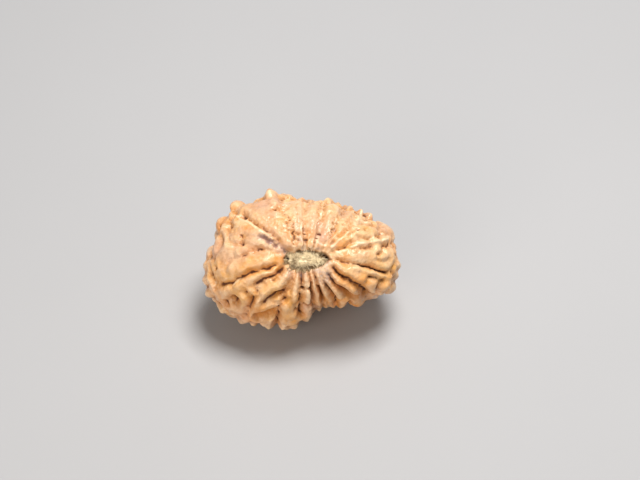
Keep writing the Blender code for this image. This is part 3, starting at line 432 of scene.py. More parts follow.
# Fine raised seams on the scar's side, paler than what they cross: half-width, height, depth of the
# groove along each side, line
SEAMS = (
    (0.24, 0.14, 0.14, ((-0.25, 9.8), (-0.2, 7.0), (-0.3, 4.2), (-0.25, 1.5))),
    (0.22, 0.14, 0.2, (
        (3.0, 9.6), (2.7, 8.0), (2.35, 6.7), (2.0, 5.65),
        (2.2, 4.65), (1.8, 3.2), (1.5, 1.85),
    )),
    (0.22, 0.14, 0.14, (
        (6.5, 8.6), (5.6, 7.1), (5.05, 6.45), (4.7, 5.55),
        (4.3, 4.65), (3.7, 3.5), (3.15, 2.05),
    )),
    (0.4, 0.14, 0.14, ((9.9, 7.7), (9.4, 7.0), (8.75, 6.1), (8.2, 5.2))),
    (0.22, 0.13, 0.2, ((8.2, 5.2), (7.4, 4.4), (6.2, 3.5), (5.3, 2.85), (4.25, 1.85))),
    (0.28, 0.18, 0.05, (
        (14.5, 3.85), (13.8, 3.2), (12.2, 2.95), (10.4, 2.6),
        (8.9, 2.4), (7.4, 1.85), (6.0, 1.3), (4.95, 1.15),
    )),
    (0.26, 0.16, 0.07, (
        (-12.7, 7.5), (-11.85, 7.05), (-10.9, 6.45), (-9.9, 6.15), (-8.8, 5.4),
        (-7.75, 4.7), (-6.7, 4.1), (-5.9, 3.6), (-5.1, 2.85), (-4.6, 1.9),
    )),
    (0.2, 0.12, 0.0, ((-11.0, -3.1), (-11.85, -3.8), (-12.5, -4.4))),
)

# How far the groove along each side of a seam reaches, in seam half-widths
GROOVE_REACH = 4.3

# Fine rough cuts on the scar's side: half-width, depth, line
BROKEN_CUTS = (
    (0.34, 0.45, (
        (-5.4, 8.3), (-4.2, 8.0), (-3.5, 6.9), (-2.8, 6.0),
        (-2.6, 5.0), (-2.2, 4.0), (-2.3, 2.4),
    )),
    (0.26, 0.35, ((-3.9, 6.9), (-3.3, 5.6), (-3.0, 4.4))),
    (0.26, 0.35, ((-10.9, 3.9), (-11.0, 2.8), (-10.6, 2.2))),
    (0.26, 0.3, ((2.3, 6.6), (2.0, 5.6), (2.3, 4.8), (1.9, 3.4))),
    (0.24, 0.3, ((5.2, 6.2), (4.5, 5.0), (3.9, 3.9))),
    (0.26, 0.35, ((8.3, 4.9), (9.2, 4.6), (10.3, 4.7))),
    (0.26, 0.35, ((-0.3, 6.0), (-0.4, 4.4), (-0.2, 3.0))),
)

# Colour on the scar's side, in soft round patches: x, y, radius, strength
ORANGE_PLACES = (
    (-7.5, -1.5, 1.6, 0.4),
    (-9.6, -1.9, 1.6, 0.45),
    (-9.0, 1.7, 0.7, 0.7),
    (-7.4, 1.8, 0.6, 0.5),
    (-4.3, 0.1, 1.1, 1.0),
    (2.4, 3.3, 1.5, 0.65),
    (3.4, 1.6, 0.9, 0.4),
    (-2.9, 3.7, 0.8, 0.5),
    (-4.4, 5.0, 0.8, 0.35),
    (1.0, 4.1, 0.7, 0.5),
    (4.5, 3.0, 0.7, 0.4),
    (6.5, 1.7, 1.0, 0.4),
    (-3.3, 0.9, 0.8, 0.5),
    (-10.6, 1.7, 0.8, 0.3),
    (6.3, -8.2, 1.0, 1.0),
    (9.1, -7.8, 1.0, 1.0),
    (9.3, -3.5, 1.2, 0.8),
    (5.8, 1.9, 0.9, 0.7),
    (7.0, 2.5, 0.9, 0.7),
    (6.2, -0.9, 0.9, 0.4),
    (6.0, 3.9, 1.0, 0.5),
    (-10.0, -9.6, 1.4, 0.7),
    (-10.1, 5.2, 0.7, 0.6),
    (-15.0, 5.5, 1.4, 0.9),
    (-6.6, 11.4, 0.9, 1.0),
    (-13.0, 8.6, 1.0, 0.5),
    (5.6, -4.2, 1.2, 0.6),
    (8.0, -6.8, 1.8, 0.7),
    (-14.6, -7.4, 1.2, 0.6),
    (14.6, -4.0, 1.2, 0.7),
    (4.5, -6.6, 3.4, 0.4),
    (-2.0, -9.4, 2.0, 0.4),
    (-8.4, -8.2, 1.6, 0.6),
    (-5.3, 7.9, 0.9, 0.85),
    (-3.2, -1.9, 0.8, 0.2),
    (9.0, -4.4, 2.2, 0.4),
)
ROSE_PLACES = (
    (-8.0, 8.7, 1.6, 0.6),
    (-5.8, 7.4, 1.0, 0.5),
    (2.0, 4.8, 1.7, 0.6),
    (8.4, -2.1, 0.6, 0.3),
    (-3.4, 2.6, 0.9, 0.5),
    (-16.0, 1.0, 1.5, 0.6),
    (2.4, 3.6, 1.4, 0.9),
    (-3.4, 3.2, 1.0, 0.4),
    (-4.4, 1.9, 0.9, 0.9),
    (-9.7, 8.4, 1.4, 0.5),
    (6.6, 7.3, 1.1, 0.4),
    (4.2, 9.2, 0.9, 0.4),
    (-1.6, 5.8, 1.0, 0.3),
)
DUST_PLACES = (
    (2.6, -1.7, 0.9, 1.0),
    (3.4, -2.2, 0.9, 0.8),
    (1.6, -2.1, 0.7, 0.7),
    (-0.8, 1.6, 0.6, 0.7),
    (0.5, 1.5, 0.6, 0.7),
    (-0.8, -2.2, 0.7, 0.8),
    (-3.6, 1.2, 0.8, 0.6),
    (3.2, -1.1, 1.0, 1.0),
    (2.6, -2.7, 1.2, 0.7),
    (1.4, -3.0, 0.8, 0.5),
    (3.7, -2.9, 0.8, 0.6),
    (-3.0, -2.4, 0.8, 0.4),
    (-1.1, 3.0, 0.8, 0.35),
    (2.0, 1.6, 0.6, 0.5),
)
SHADE_PLACES = (
    (-5.3, 7.9, 1.0, 1.0),
    (3.1, 3.8, 1.1, 0.4),
    (8.4, -3.0, 1.0, 0.4),
    (-6.0, -3.5, 0.9, 0.35),
    (14.2, -2.6, 1.0, 0.3),
    (-2.9, -2.1, 0.9, 0.7),
    (-1.6, -2.0, 0.8, 0.9),
    (-0.2, -2.0, 0.7, 0.7),
    (-3.2, -6.5, 1.1, 0.85),
    (-8.3, 1.3, 1.1, 0.4),
    (-10.9, 7.2, 0.9, 0.4),
    (2.3, 3.9, 0.7, 0.4),
    (9.6, -5.4, 1.6, 0.6),
    (-12.6, -6.9, 1.2, 0.4),
    (7.5, 1.4, 0.9, 0.65),
)
GOLDEN_PLACES = (
    (-4.9, -0.5, 1.3, 0.9),
    (-8.5, -1.3, 1.8, 0.5),
    (-11.7, -2.4, 1.2, 0.6),
    (-4.0, -0.2, 1.0, 0.6),
    (-13.5, -3.4, 2.0, 0.6),
    (-15.8, -1.2, 1.7, 0.6),
    (-11.3, -6.0, 2.2, 0.7),
    (-5.8, -5.4, 1.8, 0.8),
    (-8.6, -8.8, 1.9, 0.7),
    (-2.3, -7.0, 1.6, 0.8),
    (-2.6, -10.0, 1.7, 0.8),
    (6.5, -2.4, 2.0, 0.6),
    (9.5, -3.2, 2.0, 0.7),
    (12.8, -2.3, 2.3, 0.85),
    (14.8, -1.6, 1.6, 0.8),
    (6.8, -6.2, 2.2, 0.6),
    (3.8, -6.4, 1.5, 0.5),
    (10.3, 4.9, 1.3, 0.5),
    (6.8, 2.2, 1.3, 0.5),
    (11.5, 0.0, 2.0, 0.4),
    (3.4, -6.2, 2.0, 0.7),
    (6.6, -8.0, 1.3, 0.9),
    (9.1, -7.0, 1.3, 0.9),
    (-7.0, -8.4, 1.8, 0.8),
    (-3.0, -9.4, 1.5, 0.8),
    (12.2, -1.6, 2.0, 0.6),
    (14.0, -3.0, 1.4, 0.7),
    (-10.2, -1.8, 1.4, 0.7),
    (-15.6, -0.8, 1.5, 0.8),
    (-14.0, -3.0, 1.3, 0.6),
    (-10.5, 8.4, 1.1, 0.6),
    (-15.0, 5.0, 1.2, 0.7),
    (1.5, 4.4, 1.0, 0.5),
    (-3.5, 2.8, 0.9, 0.5),
    (14.0, 3.4, 1.2, 0.6),
    (5.3, 9.3, 0.9, 0.5),
)
# Pale spots on bumps, partly the stone's own pale tone and partly painted highlight where light falls on
# them
PALE_AND_HIGHLIGHT_SPOTS = (
    (9.0, 6.5, 1.2, 0.9),
    (-8.0, -4.6, 0.7, 0.6),
    (-5.0, 7.6, 0.7, 0.7),
    (5.0, 8.2, 2.0, 0.4),
    (-3.5, 9.8, 1.2, 1.0),
    (3.3, 9.9, 0.9, 0.5),
    (-11.8, 5.4, 0.9, 0.4),
    (-3.2, 7.6, 1.1, 0.5),
    (6.0, 5.4, 1.0, 0.35),
    (-0.5, 8.7, 1.1, 0.6),
    (-12.2, 0.3, 1.4, 0.4),
    (-8.0, 2.6, 1.3, 0.4),
    (8.6, -0.9, 1.6, 0.5),
    (13.6, -0.9, 1.4, 0.5),
    (11.8, -2.3, 1.2, 0.5),
    (3.6, -4.9, 1.0, 0.4),
    (-6.8, -6.6, 0.9, 0.6),
    (-0.6, -4.6, 0.8, 0.5),
    (3.7, 1.0, 0.8, 0.5),
    (-8.0, -3.9, 1.3, 0.4),
    (-0.5, 7.2, 1.1, 0.5),
    (3.6, 7.6, 0.9, 0.3),
    (-6.6, 1.2, 1.1, 0.3),
    (-13.2, 2.6, 1.3, 0.3),
    (8.6, 3.0, 1.6, 0.3),
    (12.0, 2.1, 1.2, 0.4),
    (-6.4, -4.2, 0.9, 0.3),
)
# Painted highlight: pale patches where light falls brightest on the tops of folds
HIGHLIGHT_PLACES = (
    (1.5, 6.5, 4.5, 0.5),
    (10.5, 4.0, 3.8, 0.9),
    (9.0, -0.2, 2.5, 0.4),
    (-8.0, 7.5, 2.5, 0.4),
    (-8.5, 3.2, 1.6, 0.6),
    (-5.0, 4.7, 1.3, 0.5),
    (-2.3, 8.6, 2.3, 0.7),
    (5.4, 6.6, 1.5, 0.5),
    (10.0, -0.9, 2.8, 0.6),
    (13.6, -1.0, 1.8, 0.7),
    (3.4, -4.6, 1.8, 0.9),
    (2.4, -3.6, 1.2, 0.5),
    (-6.8, -6.3, 1.3, 0.9),
    (-12.5, -3.6, 2.0, 0.9),
    (-1.2, -8.1, 1.0, 0.8),
    (5.2, -2.6, 0.9, 0.4),
    (2.8, 1.5, 0.8, 0.5),
    (-0.6, -4.8, 1.0, 0.5),
    (4.2, 1.0, 1.1, 0.6),
    (-14.2, 3.8, 0.9, 0.5),
    (-6.4, 2.7, 1.4, 0.5),
    (-12.4, -6.6, 0.9, 0.5),
    (-3.0, -4.6, 1.0, 0.4),
)

# The furrow with a purple stain, and the stain's half-width
PURPLE_LINE = ((-7.7, 3.6), (-6.3, 3.0), (-5.2, 2.4))
PURPLE_WIDTH = 0.75

# Where torn fibres lie over the lips of the slit: x, y, spread, share
LIP_PLACES = (
    (-2.4, -1.6, 0.4, 0.16),
    (-1.5, -1.8, 0.4, 0.18),
    (-0.6, -1.8, 0.4, 0.15),
    (0.4, -1.6, 0.4, 0.1),
    (1.6, -1.3, 0.4, 0.06),
    (-3.0, 0.9, 0.35, 0.08),
    (2.3, 0.95, 0.3, 0.07),
    (-3.6, -0.7, 0.25, 0.04),
    (0.3, 1.4, 0.5, 0.03),
)

# Dark gaps in the loose fibres of the pith: x, y, radius
PITH_GAPS = (
    (-3.5, 0.3, 0.34),
    (-3.1, 0.0, 0.3),
    (2.5, 0.7, 0.3),
    (3.0, 0.5, 0.3),
    (3.5, 0.0, 0.4),
    (2.5, -0.65, 0.24),
    (-2.3, -1.4, 0.42),
    (-1.6, -1.6, 0.3),
    (-0.9, -1.5, 0.3),
    (0.0, -1.55, 0.22),
    (0.7, -1.25, 0.25),
)


class StoneSettings(bpy.types.PropertyGroup):
    """Sizes in millimetres and colours of the stone."""

    fullness: bpy.props.FloatProperty(
        name="Fold fullness",
        description="How wide the folds are, as a share of their drawn width",
        default=1.35,
    )
    grain_rise: bpy.props.FloatProperty(
        name="Grain",
        description="Height of the finest bumps on the folds, in millimetres",
        default=0.036,
    )
    body: bpy.props.FloatVectorProperty(
        name="Body",
        description="Colour of the fold sides",
        subtype="COLOR",
        default=(0.70, 0.37, 0.182),
    )
    # Painted highlight: the pale colour that the crest mask lays on the tops of folds; it also colours
    # pale streaks along the folds.
    crest: bpy.props.FloatVectorProperty(
        name="Crests",
        description="Colour of the worn tops of folds",
        subtype="COLOR",
        default=(0.90, 0.665, 0.438),
    )
    # Painted shade: the darker orange-brown laid low on the fold sides, beside the seams' grooves and at
    # the shade places; it also colours dark streaks along the folds.
    flank_shade: bpy.props.FloatVectorProperty(
        name="Flanks",
        description="Colour low on the fold sides",
        subtype="COLOR",
        default=(0.53, 0.215, 0.05),
    )
    # Painted shade: the dark brown laid in the hollows between folds and in the slit; it also colours
    # brown specks.
    crevice_shade: bpy.props.FloatVectorProperty(
        name="Crevices",
        description="Colour between folds",
        subtype="COLOR",
        default=(0.17, 0.05, 0.014),
    )
    # Painted shade: the darkest brown, laid at the bottoms of crevices.
    core: bpy.props.FloatVectorProperty(
        name="Crevice bottoms",
        description="Colour deep between folds",
        subtype="COLOR",
        default=(0.045, 0.014, 0.007),
    )
    orange: bpy.props.FloatVectorProperty(
        name="Orange places",
        description="Colour of the oily places",
        subtype="COLOR",
        default=(0.70, 0.25, 0.045),
    )
    golden: bpy.props.FloatVectorProperty(
        name="Golden places",
        description="Colour of the polished places",
        subtype="COLOR",
        default=(0.75, 0.36, 0.07),
    )
    rose: bpy.props.FloatVectorProperty(
        name="Rose places",
        description="Colour of the dull places",
        subtype="COLOR",
        default=(0.60, 0.36, 0.25),
    )
    # Colour of pale seams and specks, and of pale spots that are partly painted highlight.
    cream: bpy.props.FloatVectorProperty(
        name="Seams",
        description="Colour of raised seams and nubs",
        subtype="COLOR",
        default=(0.94, 0.76, 0.51),
    )
    stain: bpy.props.FloatVectorProperty(
        name="Stain",
        description="Colour of the purple furrow",
        subtype="COLOR",
        default=(0.20, 0.10, 0.085),
    )
    dust: bpy.props.FloatVectorProperty(
        name="Dust",
        description="Colour of the grey dust round the scar",
        subtype="COLOR",
        default=(0.40, 0.33, 0.31),
    )


class PithSettings(bpy.types.PropertyGroup):
    """Number, sizes in millimetres and colours of the pith's fibres."""

    fibres: bpy.props.IntProperty(
        name="Fibres",
        description="How many loose fibres lie on the mat",
        default=1300,
    )
    thickness: bpy.props.FloatProperty(
        name="Thickness",
        description="A fibre's mean radius, in millimetres",
        default=0.042,
    )
    crumbs: bpy.props.IntProperty(
        name="Crumbs",
        description="How many crumbs lie between the fibres",
        default=700,
    )
    torn: bpy.props.IntProperty(
        name="Torn fibres",
        description="How many fibres lie over the slit's lips",
        default=340,
    )
    pale: bpy.props.FloatVectorProperty(
        name="Fibre",
        description="Colour of dry fibres",
        subtype="COLOR",
        default=(0.97, 0.81, 0.53),
    )
    # Painted shade in the mat's hollows; on the loose and torn fibres and crumbs, their brown tone.
    dark: bpy.props.FloatVectorProperty(
        name="Gaps",
        description="Colour deep between fibres",
        subtype="COLOR",
        default=(0.19, 0.095, 0.025),
    )


class StageSettings(bpy.types.PropertyGroup):
    """The camera, the light and the floor."""

    rise: bpy.props.FloatProperty(
        name="Camera rise",
        description="Angle that the camera looks down",
        subtype="ANGLE",
        default=math.radians(48),
    )
    distance: bpy.props.FloatProperty(
        name="Camera distance",
        description="From the camera to the scar",
        subtype="DISTANCE",
        unit="LENGTH",
        default=0.6,
    )
    lens: bpy.props.FloatProperty(
        name="Lens",
        description="Focal length in millimetres",
        unit="CAMERA",
        default=199.0,
    )
    key: bpy.props.FloatProperty(
        name="Key light",
        description="Strength of the main light",
        unit="POWER",
        default=1.8,
    )
    sky: bpy.props.FloatProperty(
        name="Sky",
        description="Strength of the even light",
        default=0.2,
    )
    floor: bpy.props.FloatVectorProperty(
        name="Floor",
        description="Colour of the floor",
        subtype="COLOR",
        default=(0.42, 0.42, 0.43),
    )


def smooth_step(low, high, values):
    share = np.clip((values - low) / (high - low), 0.0, 1.0)
    return share * share * (3.0 - 2.0 * share)


def curve_through(points, steps, closed=False):
    """A smooth curve through the points, with this many steps from each one to the next."""
    points = np.asarray(points, float)
    if closed:
        padded = np.concatenate([points[-1:], points, points[:2]])
    else:
        padded = np.concatenate([points[:1], points, points[-1:]])
    share = np.arange(steps)[:, None] / steps
    pieces = []
    for a, b, c, d in zip(padded, padded[1:], padded[2:], padded[3:]):
        bend = 2 * a - 5 * b + 4 * c - d
        twist = 3 * b - a - 3 * c + d
        pieces.append(b + 0.5 * ((c - a) * share + bend * share**2 + twist * share**3))
    if not closed:
        pieces.append(points[-1:])
    return np.concatenate(pieces)


def rim_radius(azimuth):
    """The rim's distance from the scar's axis, at azimuths in radians."""
    radii = curve_through(np.array(RIM_RADII)[:, None], 20, closed=True)[:, 0]
    turns = np.arange(len(radii)) * 2 * math.pi / len(radii)
    return np.interp(azimuth, turns, radii, period=2 * math.pi)


def form_points(azimuth, fall):
    """Points on the smooth form. The fall is 0 at the scar, pi/2 at the rim and pi at the far pole."""
    near = rim_radius(azimuth)
    far = 1.0 / np.hypot(np.cos(azimuth) / FAR_HALF_LENGTH, np.sin(azimuth) / FAR_HALF_WIDTH)
    radius = near + 0.5 * (far - near) * smooth_step(1.6, 2.6, fall)
    radius = radius * (1.0 - BACK_SHOULDER * smooth_step(1.55, 1.85, fall))
    across = np.abs(np.sin(fall)) ** (2 / FORM_POWER)
    along = np.sign(np.cos(fall)) * np.abs(np.cos(fall)) ** (2 / FORM_POWER)
    depth = np.where(fall < math.pi / 2, FRONT_DEPTH, BACK_DEPTH)
    x = radius * across * np.cos(azimuth)
    y = radius * across * np.sin(azimuth)
    dip = SCAR_DIP * np.exp(-((np.hypot(x, y) / SCAR_DIP_RADIUS) ** 2))
    z = depth * along - dip * np.sign(along)
    return np.stack([x, y, z], axis=-1)


def face_points(places):
    """Points on the smooth form under places on the scar's side.

    Folds lean outward towards the rim, so the places under them draw in."""
    places = np.asarray(places, float)
    azimuth = np.arctan2(places[:, 1], places[:, 0])
    reach = np.hypot(places[:, 0], places[:, 1])
    share = np.clip(reach / (rim_radius(azimuth) * (1.0 + RIM_RISE)), 0.0, 0.995)
    share = np.clip(share * (1.0 + RIM_RISE * (1.0 - share**2)), 0.0, 0.998)
    return form_points(azimuth, np.arcsin(share ** (FORM_POWER / 2)))


def face_curve(places):
    """A smooth line over the form through places on the scar's side."""
    return curve_through(face_points(places), CURVE_STEPS)


def ripple(points, scale, seed, waves=28):
    """Smooth noise of about unit size, as a sum of seeded waves of this length."""
    rng = np.random.default_rng(seed)
    direction = rng.normal(size=(waves, 3))
    direction /= np.linalg.norm(direction, axis=1)[:, None]
    number = direction * (2 * math.pi / (scale * rng.uniform(0.7, 1.5, waves)))[:, None]
    phase = rng.uniform(0, 2 * math.pi, waves)
    return np.sin(points @ number.T + phase).sum(axis=1) * math.sqrt(2.0 / waves)


def ripples(points, scale, seed):
    """The same noise for each of the three axes."""
    return np.stack([ripple(points, scale, seed + axis) for axis in range(3)], axis=-1)


def line_distance(points, line):
    """Each point's distance to a line, and how far along the line it is nearest, from 0 to 1."""
    step = line[1:] - line[:-1]
    length = np.linalg.norm(step, axis=1)
    begun = np.concatenate([[0.0], np.cumsum(length)])
    best = np.full(len(points), np.inf)
    along = np.zeros(len(points))
    for i in range(len(step)):
        share = np.clip((points - line[i]) @ step[i] / length[i] ** 2, 0.0, 1.0)
        gap = np.linalg.norm(points - line[i] - share[:, None] * step[i], axis=1)
        nearer = gap < best
        best[nearer] = gap[nearer]
        along[nearer] = ((begun[i] + share * length[i]) / begun[-1])[nearer]
    return best, along


def near_line(points, line, reach):
    """The indices of the points that can be within reach of the line."""
    middle = line.mean(axis=0)
    radius = np.linalg.norm(line - middle, axis=1).max() + reach
    return np.nonzero(((points - middle) ** 2).sum(axis=1) < radius**2)[0]


def raise_fold(total, points, line, widths, height, fullness):
    """Adds one round-topped, steep-sided fold to the sum that joins folds where they meet."""
    widths = np.array(widths) * fullness
    index = near_line(points, line, widths.max())
    gap, along = line_distance(points[index], line)
    width = widths[0] + (widths[1] - widths[0]) * along
    rise = height * np.clip(1.0 - (gap / width) ** 2, 0.0, None) ** FOLD_POWER
    total[index] += rise**MEETING_POWER


def cut_furrow(cut, points, line, width, depth):
    """Deepens the cut to that of one furrow, narrow at the bottom and with wide shoulders."""
    reach = FURROW_REACH * width
    index = near_line(points, line, reach)
    gap, _ = line_distance(points[index], line)
    core = np.clip(1.0 - (gap / (FURROW_CORE_WIDTH * width)) ** 2, 0.0, None) ** 2
    shoulder = np.clip(1.0 - (gap / reach) ** 2, 0.0, None) ** 2
    cut[index] = np.maximum(cut[index], depth * (FURROW_CORE * core + (1.0 - FURROW_CORE) * shoulder))


def far_azimuth(turn, falls):
    """Azimuths of lines on the far side that leave its short slit square to it and fan out."""
    reach = np.maximum(FAR_HALF_WIDTH * np.sin(falls) / BACK_FOCUS, 1.001)
    return np.angle(np.cosh(np.arccosh(reach) + 1j * turn))


def far_fingers(rng):
    """Folds that leave the far pole, two to a lane, and the seams between lanes."""
    folds, seams = [], []
    for lane in range(LANES):
        turn = 2 * math.pi * (lane + rng.uniform(-0.1, 0.1)) / LANES
        for side in (-1, 1):
            begin = 0.3 if side < 0 else rng.uniform(0.5, 0.8)
            steps = np.linspace(begin, rng.uniform(1.2, 1.5), 6)
            wander = np.cumsum(rng.normal(0, 0.015, 6))
            split = side * 0.25 * smooth_step(0.3, 1.3, steps) * 2 * math.pi / LANES
            azimuth = far_azimuth(turn + wander + split, steps)
            line = form_points(azimuth, math.pi - steps)
            folds.append((line, (0.5, rng.uniform(0.8, 1.1)), rng.uniform(1.1, 1.6)))
        steps = np.linspace(0.3, 1.75, 7)
        azimuth = far_azimuth(turn + math.pi / LANES + rng.normal(0, 0.01, 7), steps)
        seams.append(form_points(azimuth, math.pi - steps))
    return folds, seams


def rim_lobes(rng):
    """The knobs across the rim. Each fold is (line, half-widths, height)."""
    folds = []
    for turn, half_width, height in LOBES:
        length = rng.uniform(0.06, 0.16)
        lean = rng.uniform(-0.3, 0.3) * length
        azimuths = math.radians(turn) + np.array([-lean, 0.0, lean])
        falls = LOBE_FALL + np.array([-length, 0.0, length])
        folds.append((form_points(azimuths, falls), (half_width, half_width), height))
    return folds


def rim_knobs(rng):
    """Knobs in rows behind those, round the hidden half of the rim."""
    folds = []
    for row, fall in enumerate(RIM_ROWS):
        count = RIM_KNOBS - 3 * row
        for place in range(count):
            azimuth = 2 * math.pi * (place + 0.5 * (row % 2) + rng.uniform(-0.3, 0.3)) / count
            length = rng.uniform(0.01, 0.12)
            lean = rng.uniform(-0.6, 0.6) * length
            azimuths = azimuth + np.array([-lean, 0.0, lean])
            falls = fall + rng.uniform(-0.06, 0.06) + np.array([-length, 0.0, length])
            widths = rng.uniform(0.8, 1.25) * np.array([1.0, rng.uniform(0.7, 1.0)])
            folds.append((form_points(azimuths, falls), widths, rng.uniform(0.8, 1.4)))
    return folds


def slit_depth(points):
    """How deep the scar's slit is cut under each point. It is a lens, fuller below than above."""
    x = (points[:, 0] - SLIT_CENTRE[0]) / SLIT_HALF_LENGTH
    y = points[:, 1] - SLIT_CENTRE[1]
    lens = np.clip(1.0 - x**2, 0.0, None)
    half = np.where(y > 0, SLIT_UPPER, SLIT_LOWER * (1.0 - SLIT_SKEW * x)) * lens
    across = np.abs(y) / np.maximum(half, 1e-6)
    depth = SLIT_DEPTH * np.clip(1.0 - across**2, 0.0, None) ** 0.3 * lens**0.3
    return np.where(points[:, 2] > 0, depth, 0.0)


def pole_calm(points):
    """The share of their height that folds keep, which is less round the slit and the far pole."""
    x, y, z = points.T
    near = np.hypot((x - SLIT_CENTRE[0]) / SLIT_HALF_LENGTH, y / np.where(y > 0, SLIT_UPPER, SLIT_LOWER))
    far = np.hypot(x / FAR_HALF_LENGTH, y / FAR_HALF_WIDTH)
    near_calm = SCAR_CALM * (1.0 - smooth_step(CALM_FROM, CALM_TO, near))
    far_calm = FAR_CALM * (1.0 - smooth_step(FAR_CALM_FROM, FAR_CALM_TO, far))
    return 1.0 - np.where(z > 0, near_calm, far_calm)


def relief(points, fullness):
    """The height of the surface over each point of the smooth form, and the depth of the slit there."""
    total = np.zeros(len(points))
    cut = np.zeros(len(points))
    rng = np.random.default_rng(SEED)
    fingers, seams = far_fingers(rng)
    hidden = smooth_step(2.0, -2.0, points[:, 2])
    warp = FRONT_WARP + (BACK_WARP - FRONT_WARP) * hidden
    knobble = FRONT_KNOBBLE + (BACK_KNOBBLE - FRONT_KNOBBLE) * hidden
    warped = points + warp[:, None] * ripples(points, WARP_SCALE, SEED)
    crooked = warped + CROOKEDNESS * ripples(points, CROOK_SCALE, SEED + 3)
    for start, end, height, crest in FOLDS:
        raise_fold(total, warped, face_curve(crest), (start, end), height, fullness)
    for line, widths, height in fingers + rim_lobes(rng) + rim_knobs(rng):
        raise_fold(total, warped, curve_through(line, CURVE_STEPS), widths, height, fullness)
    for width, depth, line in FURROWS:
        cut_furrow(cut, crooked, face_curve(line), width, depth)
    for line in seams:
        cut_furrow(cut, crooked, curve_through(line, CURVE_STEPS), SEAM_HALF_WIDTH, SEAM_DEPTH)
    for x, y, radius, depth in PITS:
        gap = np.linalg.norm(crooked - face_points([(x, y)])[0], axis=1)
        cut = np.maximum(cut, depth * np.clip(1.0 - (gap / radius) ** 2, 0.0, None) ** PIT_POWER)
    total += (SKIN_RISE * np.abs(ripple(points, SKIN_SCALE, SEED + 7)) ** 0.7) ** MEETING_POWER
    slit = slit_depth(crooked + SLIT_RAGGEDNESS * ripples(points, 0.9, SEED + 14))
    height = total ** (1 / MEETING_POWER) * (1.0 + knobble * ripple(points, KNOBBLE_SCALE, SEED + 8))
    height = height * pole_calm(points)
    skin = height * np.clip(1.0 - slit / 0.6, 0.0, 1.0) - cut * np.clip(1.0 - slit, 0.0, 1.0)
    return skin - slit, slit


def laid_down(points):
    """Turns points from the seed's own axes to how it lies."""
    x, y, z = points.T
    sine, cosine = math.sin(SCAR_TILT), math.cos(SCAR_TILT)
    return np.stack([x, y * sine - z * cosine, y * cosine + z * sine], axis=-1)


def read_points(mesh):
    points = np.empty(len(mesh.vertices) * 3)
    mesh.vertices.foreach_get("co", points)
    return points.reshape(-1, 3)


def read_normals(mesh):
    normals = np.empty(len(mesh.vertices) * 3)
    mesh.vertices.foreach_get("normal", normals)
    return normals.reshape(-1, 3)


def move_points(mesh, points):
    mesh.vertices.foreach_set("co", points.ravel())
    mesh.update()


def seat_place(points):
    """The middle of the stone's seat, with its lowest knobs sunk by the seat's depth."""
    lying = laid_down(points)
    low, high = lying.min(axis=0), lying.max(axis=0)
    return np.array([(low[0] + high[0]) / 2, (low[1] + high[1]) / 2, low[2] + SEAT_DEPTH])


def streak_points(points):
    """Where points lie in a frame that is drawn in along the folds, which leave the slit square to it."""
    wavy = points + STREAK_WAVE * ripples(points, 1.8, SEED + 45)
    turn = np.arccosh((wavy[:, 0] + 1j * wavy[:, 1]) / STREAK_FOCUS + 0j)
    across = STREAK_SPREAD * np.exp(1j * turn.imag)
    return np.stack([across.real, across.imag, STREAK_LENGTH * turn.real + 0.3 * points[:, 2]], axis=-1)


def hump(points, places):
    """The strongest of several round soft patches at each point. Places are x, y, radius, strength."""
    patch = np.zeros(len(points))
    for x, y, radius, strength in places:
        gap = np.linalg.norm(points - face_points([(x, y)])[0], axis=1)
        patch = np.maximum(patch, strength * np.exp(-((gap / radius) ** 2)))
    return patch


def line_mask(points, places, width):
    """1 on a line through places on the scar's side, falling to 0 at this distance from it."""
    line = face_curve(places)
    index = near_line(points, line, width)
    gap, _ = line_distance(points[index], line)
    share = np.zeros(len(points))
    share[index] = np.clip(1.0 - (gap / width) ** 2, 0.0, 1.0)
    return share


def seam_rise(points):
    """The rise of the fine seams and grooves, the share of seam at each point, and the groove's depth."""
    rise, pale, groove = np.zeros((3, len(points)))
    for width, height, depth, line in SEAMS:
        seam = line_mask(points, line, width)
        rise = np.maximum(rise, height * seam)
        pale = np.maximum(pale, seam)
        groove = np.maximum(groove, depth * line_mask(points, line, GROOVE_REACH * width))
    worn = smooth_step(-1.3, 0.5, ripple(points, 1.6, SEED + 26))
    groove *= smooth_step(-1.5, 0.8, ripple(points, 1.3, SEED + 44))
    return rise * worn - groove, pale * worn, groove * (1.0 - pale)


def small_pits(points, rng):
    """The depth of the small pits that are strewn over the stone. Their rims are uneven."""
    cut = np.zeros(len(points))
    uneven = points + PIT_UNEVENNESS * ripples(points, 0.7, SEED + 30)
    azimuths = rng.uniform(-math.pi, math.pi, STREWN_PITS)
    for place in form_points(azimuths, np.arccos(rng.uniform(-0.95, 0.45, STREWN_PITS))):
        radius = rng.uniform(0.2, 0.5)
        index = near_line(uneven, np.array([place, place]), radius)
        gap = np.linalg.norm(uneven[index] - place, axis=1)
        depth = rng.uniform(0.15, 0.5) * np.clip(1.0 - (gap / radius) ** 2, 0.0, None)
        cut[index] = np.maximum(cut[index], depth)
    return cut


def broken_cuts(points):
    """The depth of the fine rough cuts on the scar's side, which are broken along their length."""
    uneven = points + PIT_UNEVENNESS * ripples(points, 0.7, SEED + 33)
    deep = smooth_step(-0.7, 0.9, ripple(points, 0.9, SEED + 36))
    cut = np.zeros(len(points))
    for width, depth, line in BROKEN_CUTS:
        cut = np.maximum(cut, depth * line_mask(uneven, line, width))
    return cut * deep


def mesh_of(shape, name):
    """Turns a bmesh into a mesh and frees it."""
    mesh = bpy.data.meshes.new(name)
    shape.to_mesh(mesh)
    shape.free()
    return mesh


def new_object(name, data):
    made = bpy.data.objects.new(name, data)
    bpy.context.scene.collection.objects.link(made)
    return made


